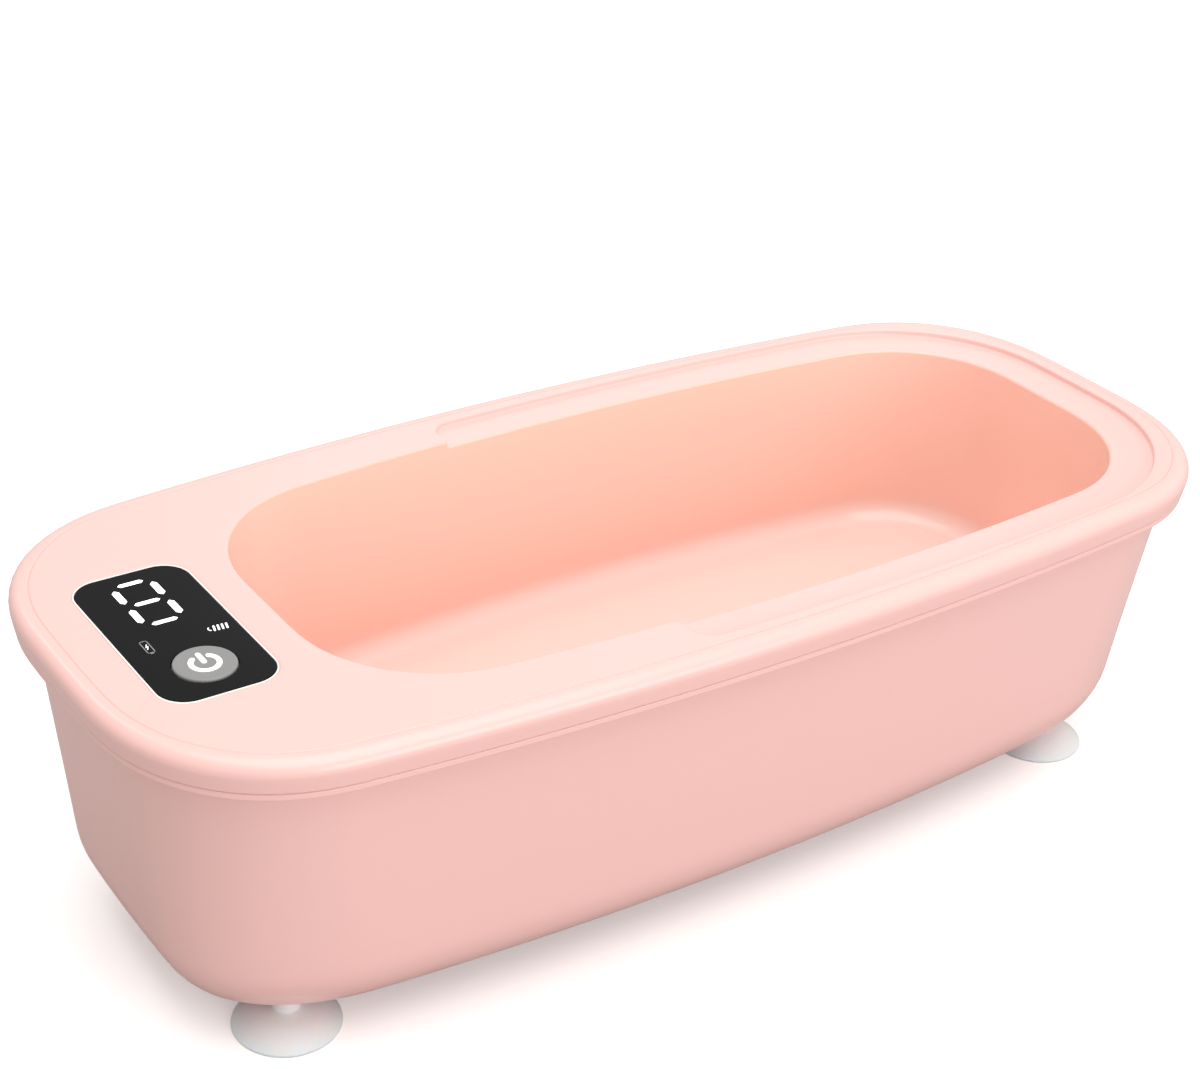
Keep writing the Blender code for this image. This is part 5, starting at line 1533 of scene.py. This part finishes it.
def make_stage(g):
    """The pale floor and surroundings, and the lights."""
    bm = bmesh.new()
    bmesh.ops.create_grid(bm, x_segments=8, y_segments=8, size=g.floor / 2)
    piece("backdrop_floor", bm, [floor_paper(tuple(g.tone), tuple(g.bounce))])
    world = bpy.data.worlds.new("pale surroundings")
    world.use_nodes = True
    background = world.node_tree.nodes["Background"]
    background.inputs["Color"].default_value = (1.0, 0.985, 0.97, 1.0)
    background.inputs["Strength"].default_value = g.sky
    bpy.context.scene.world = world
    bpy.context.scene.view_settings.view_transform = "Standard"
    middle, deck = (0, 0, 0.03), (0, 0, 0.05)
    white, warm = (1.0, 1.0, 1.0), (1.0, 0.98, 0.97)
    add_area("top light", (0.0, -0.15, 1.05), middle, 0.95, 1.2, g.top_light, (1.0, 0.99, 0.98))
    add_area("front light", (0.2, -1.08, 0.33), middle, 0.9, 0.5, g.front_light, warm)
    add_area("back strip", (-0.2, 0.8, 0.77), middle, 0.06, 0.5, g.back_light, white)
    add_area("far light", (0.55, 0.78, 0.53), deck, 0.5, 0.22, g.far_light, white)
    add_area("tank end light", (1.0, -0.1, 0.45), middle, 0.6, 0.5, g.end_light, warm)


# ---------------------------------------------------------------- operators


class CLEANER_OT_stage(bpy.types.Operator):
    """Makes the floor, the lights and the camera"""

    bl_idname = "cleaner.stage"
    bl_label = "Stage"

    def execute(self, context):
        settings = context.scene.cleaner_stage
        make_stage(settings)
        make_camera(settings)
        return {"FINISHED"}


class CLEANER_OT_top_cover(bpy.types.Operator):
    """Makes the deck with its tank, ledge and rim"""

    bl_idname = "cleaner.top_cover"
    bl_label = "Top cover"

    def execute(self, context):
        make_top_cover(context.scene.cleaner_shell)
        return {"FINISHED"}


class CLEANER_OT_lower_housing(bpy.types.Operator):
    """Makes the tub and the gasket between it and the deck"""

    bl_idname = "cleaner.lower_housing"
    bl_label = "Lower housing"

    def execute(self, context):
        make_lower_housing(context.scene.cleaner_housing)
        make_rim_gasket()
        return {"FINISHED"}


class CLEANER_OT_display(bpy.types.Operator):
    """Makes the smoked window with its lit digit and marks"""

    bl_idname = "cleaner.display"
    bl_label = "Display"

    def execute(self, context):
        settings = context.scene.cleaner_display
        make_window(settings)
        make_digit(settings)
        make_icons(settings)
        return {"FINISHED"}


class CLEANER_OT_power_key(bpy.types.Operator):
    """Makes the power key and its symbol"""

    bl_idname = "cleaner.power_key"
    bl_label = "Power key"

    def execute(self, context):
        settings = context.scene.cleaner_key
        make_power_key(settings)
        make_power_symbol(settings)
        return {"FINISHED"}


class CLEANER_OT_feet(bpy.types.Operator):
    """Makes the four suction feet"""

    bl_idname = "cleaner.feet"
    bl_label = "Suction feet"

    def execute(self, context):
        for name in CORNERS:
            make_foot(name, context.scene.cleaner_foot)
        return {"FINISHED"}


class CLEANER_OT_charging_port(bpy.types.Operator):
    """Makes the charging socket and its flap"""

    bl_idname = "cleaner.charging_port"
    bl_label = "Charging port"

    def execute(self, context):
        settings = context.scene.cleaner_port
        make_flap(settings)
        make_socket(settings)
        return {"FINISHED"}


class CLEANER_OT_screws(bpy.types.Operator):
    """Makes the housing screws and the boards' screws"""

    bl_idname = "cleaner.screws"
    bl_label = "Screws"

    def execute(self, context):
        settings = context.scene.cleaner_screw
        for name in CORNERS:
            make_screw(f"housing_screw_{name}", HOUSING_SCREW, False, settings)
        for k in range(4):
            make_screw(f"driver_board_screw_{k + 1}", BOARD_SCREW, True, settings)
        for k in range(2):
            make_screw(f"control_board_screw_{k + 1}", BOARD_SCREW, False, settings)
        return {"FINISHED"}


class CLEANER_OT_inside(bpy.types.Operator):
    """Gives the parts inside their finishes"""

    bl_idname = "cleaner.inside"
    bl_label = "Inner parts"

    def execute(self, context):
        finish_inside()
        return {"FINISHED"}


OPERATORS = (
    CLEANER_OT_stage,
    CLEANER_OT_top_cover,
    CLEANER_OT_lower_housing,
    CLEANER_OT_display,
    CLEANER_OT_power_key,
    CLEANER_OT_feet,
    CLEANER_OT_charging_port,
    CLEANER_OT_screws,
    CLEANER_OT_inside,
)


class CLEANER_PT_sidebar(bpy.types.Panel):
    """Lists what the file makes"""

    bl_label = "Ultrasonic cleaner"
    bl_idname = "CLEANER_PT_sidebar"
    bl_space_type = "VIEW_3D"
    bl_region_type = "UI"
    bl_category = "Cleaner"

    def draw(self, context):
        column = self.layout.column()
        for operator in OPERATORS:
            column.operator(operator.bl_idname)
        for name, group in SETTINGS.items():
            box = self.layout.box()
            box.label(text=group.__doc__.strip())
            for key in group.__annotations__:
                box.prop(getattr(context.scene, name), key)


def register():
    for group in SETTINGS.values():
        bpy.utils.register_class(group)
    for name, group in SETTINGS.items():
        setattr(bpy.types.Scene, name, bpy.props.PointerProperty(type=group))
    for item in (*OPERATORS, CLEANER_PT_sidebar):
        bpy.utils.register_class(item)


def unregister():
    for item in (CLEANER_PT_sidebar, *reversed(OPERATORS)):
        bpy.utils.unregister_class(item)
    for name in SETTINGS:
        delattr(bpy.types.Scene, name)
    for group in reversed(list(SETTINGS.values())):
        bpy.utils.unregister_class(group)


def main():
    register()
    for operator in OPERATORS:
        section, name = operator.bl_idname.split(".")
        getattr(getattr(bpy.ops, section), name)()


if __name__ == "__main__":
    main()
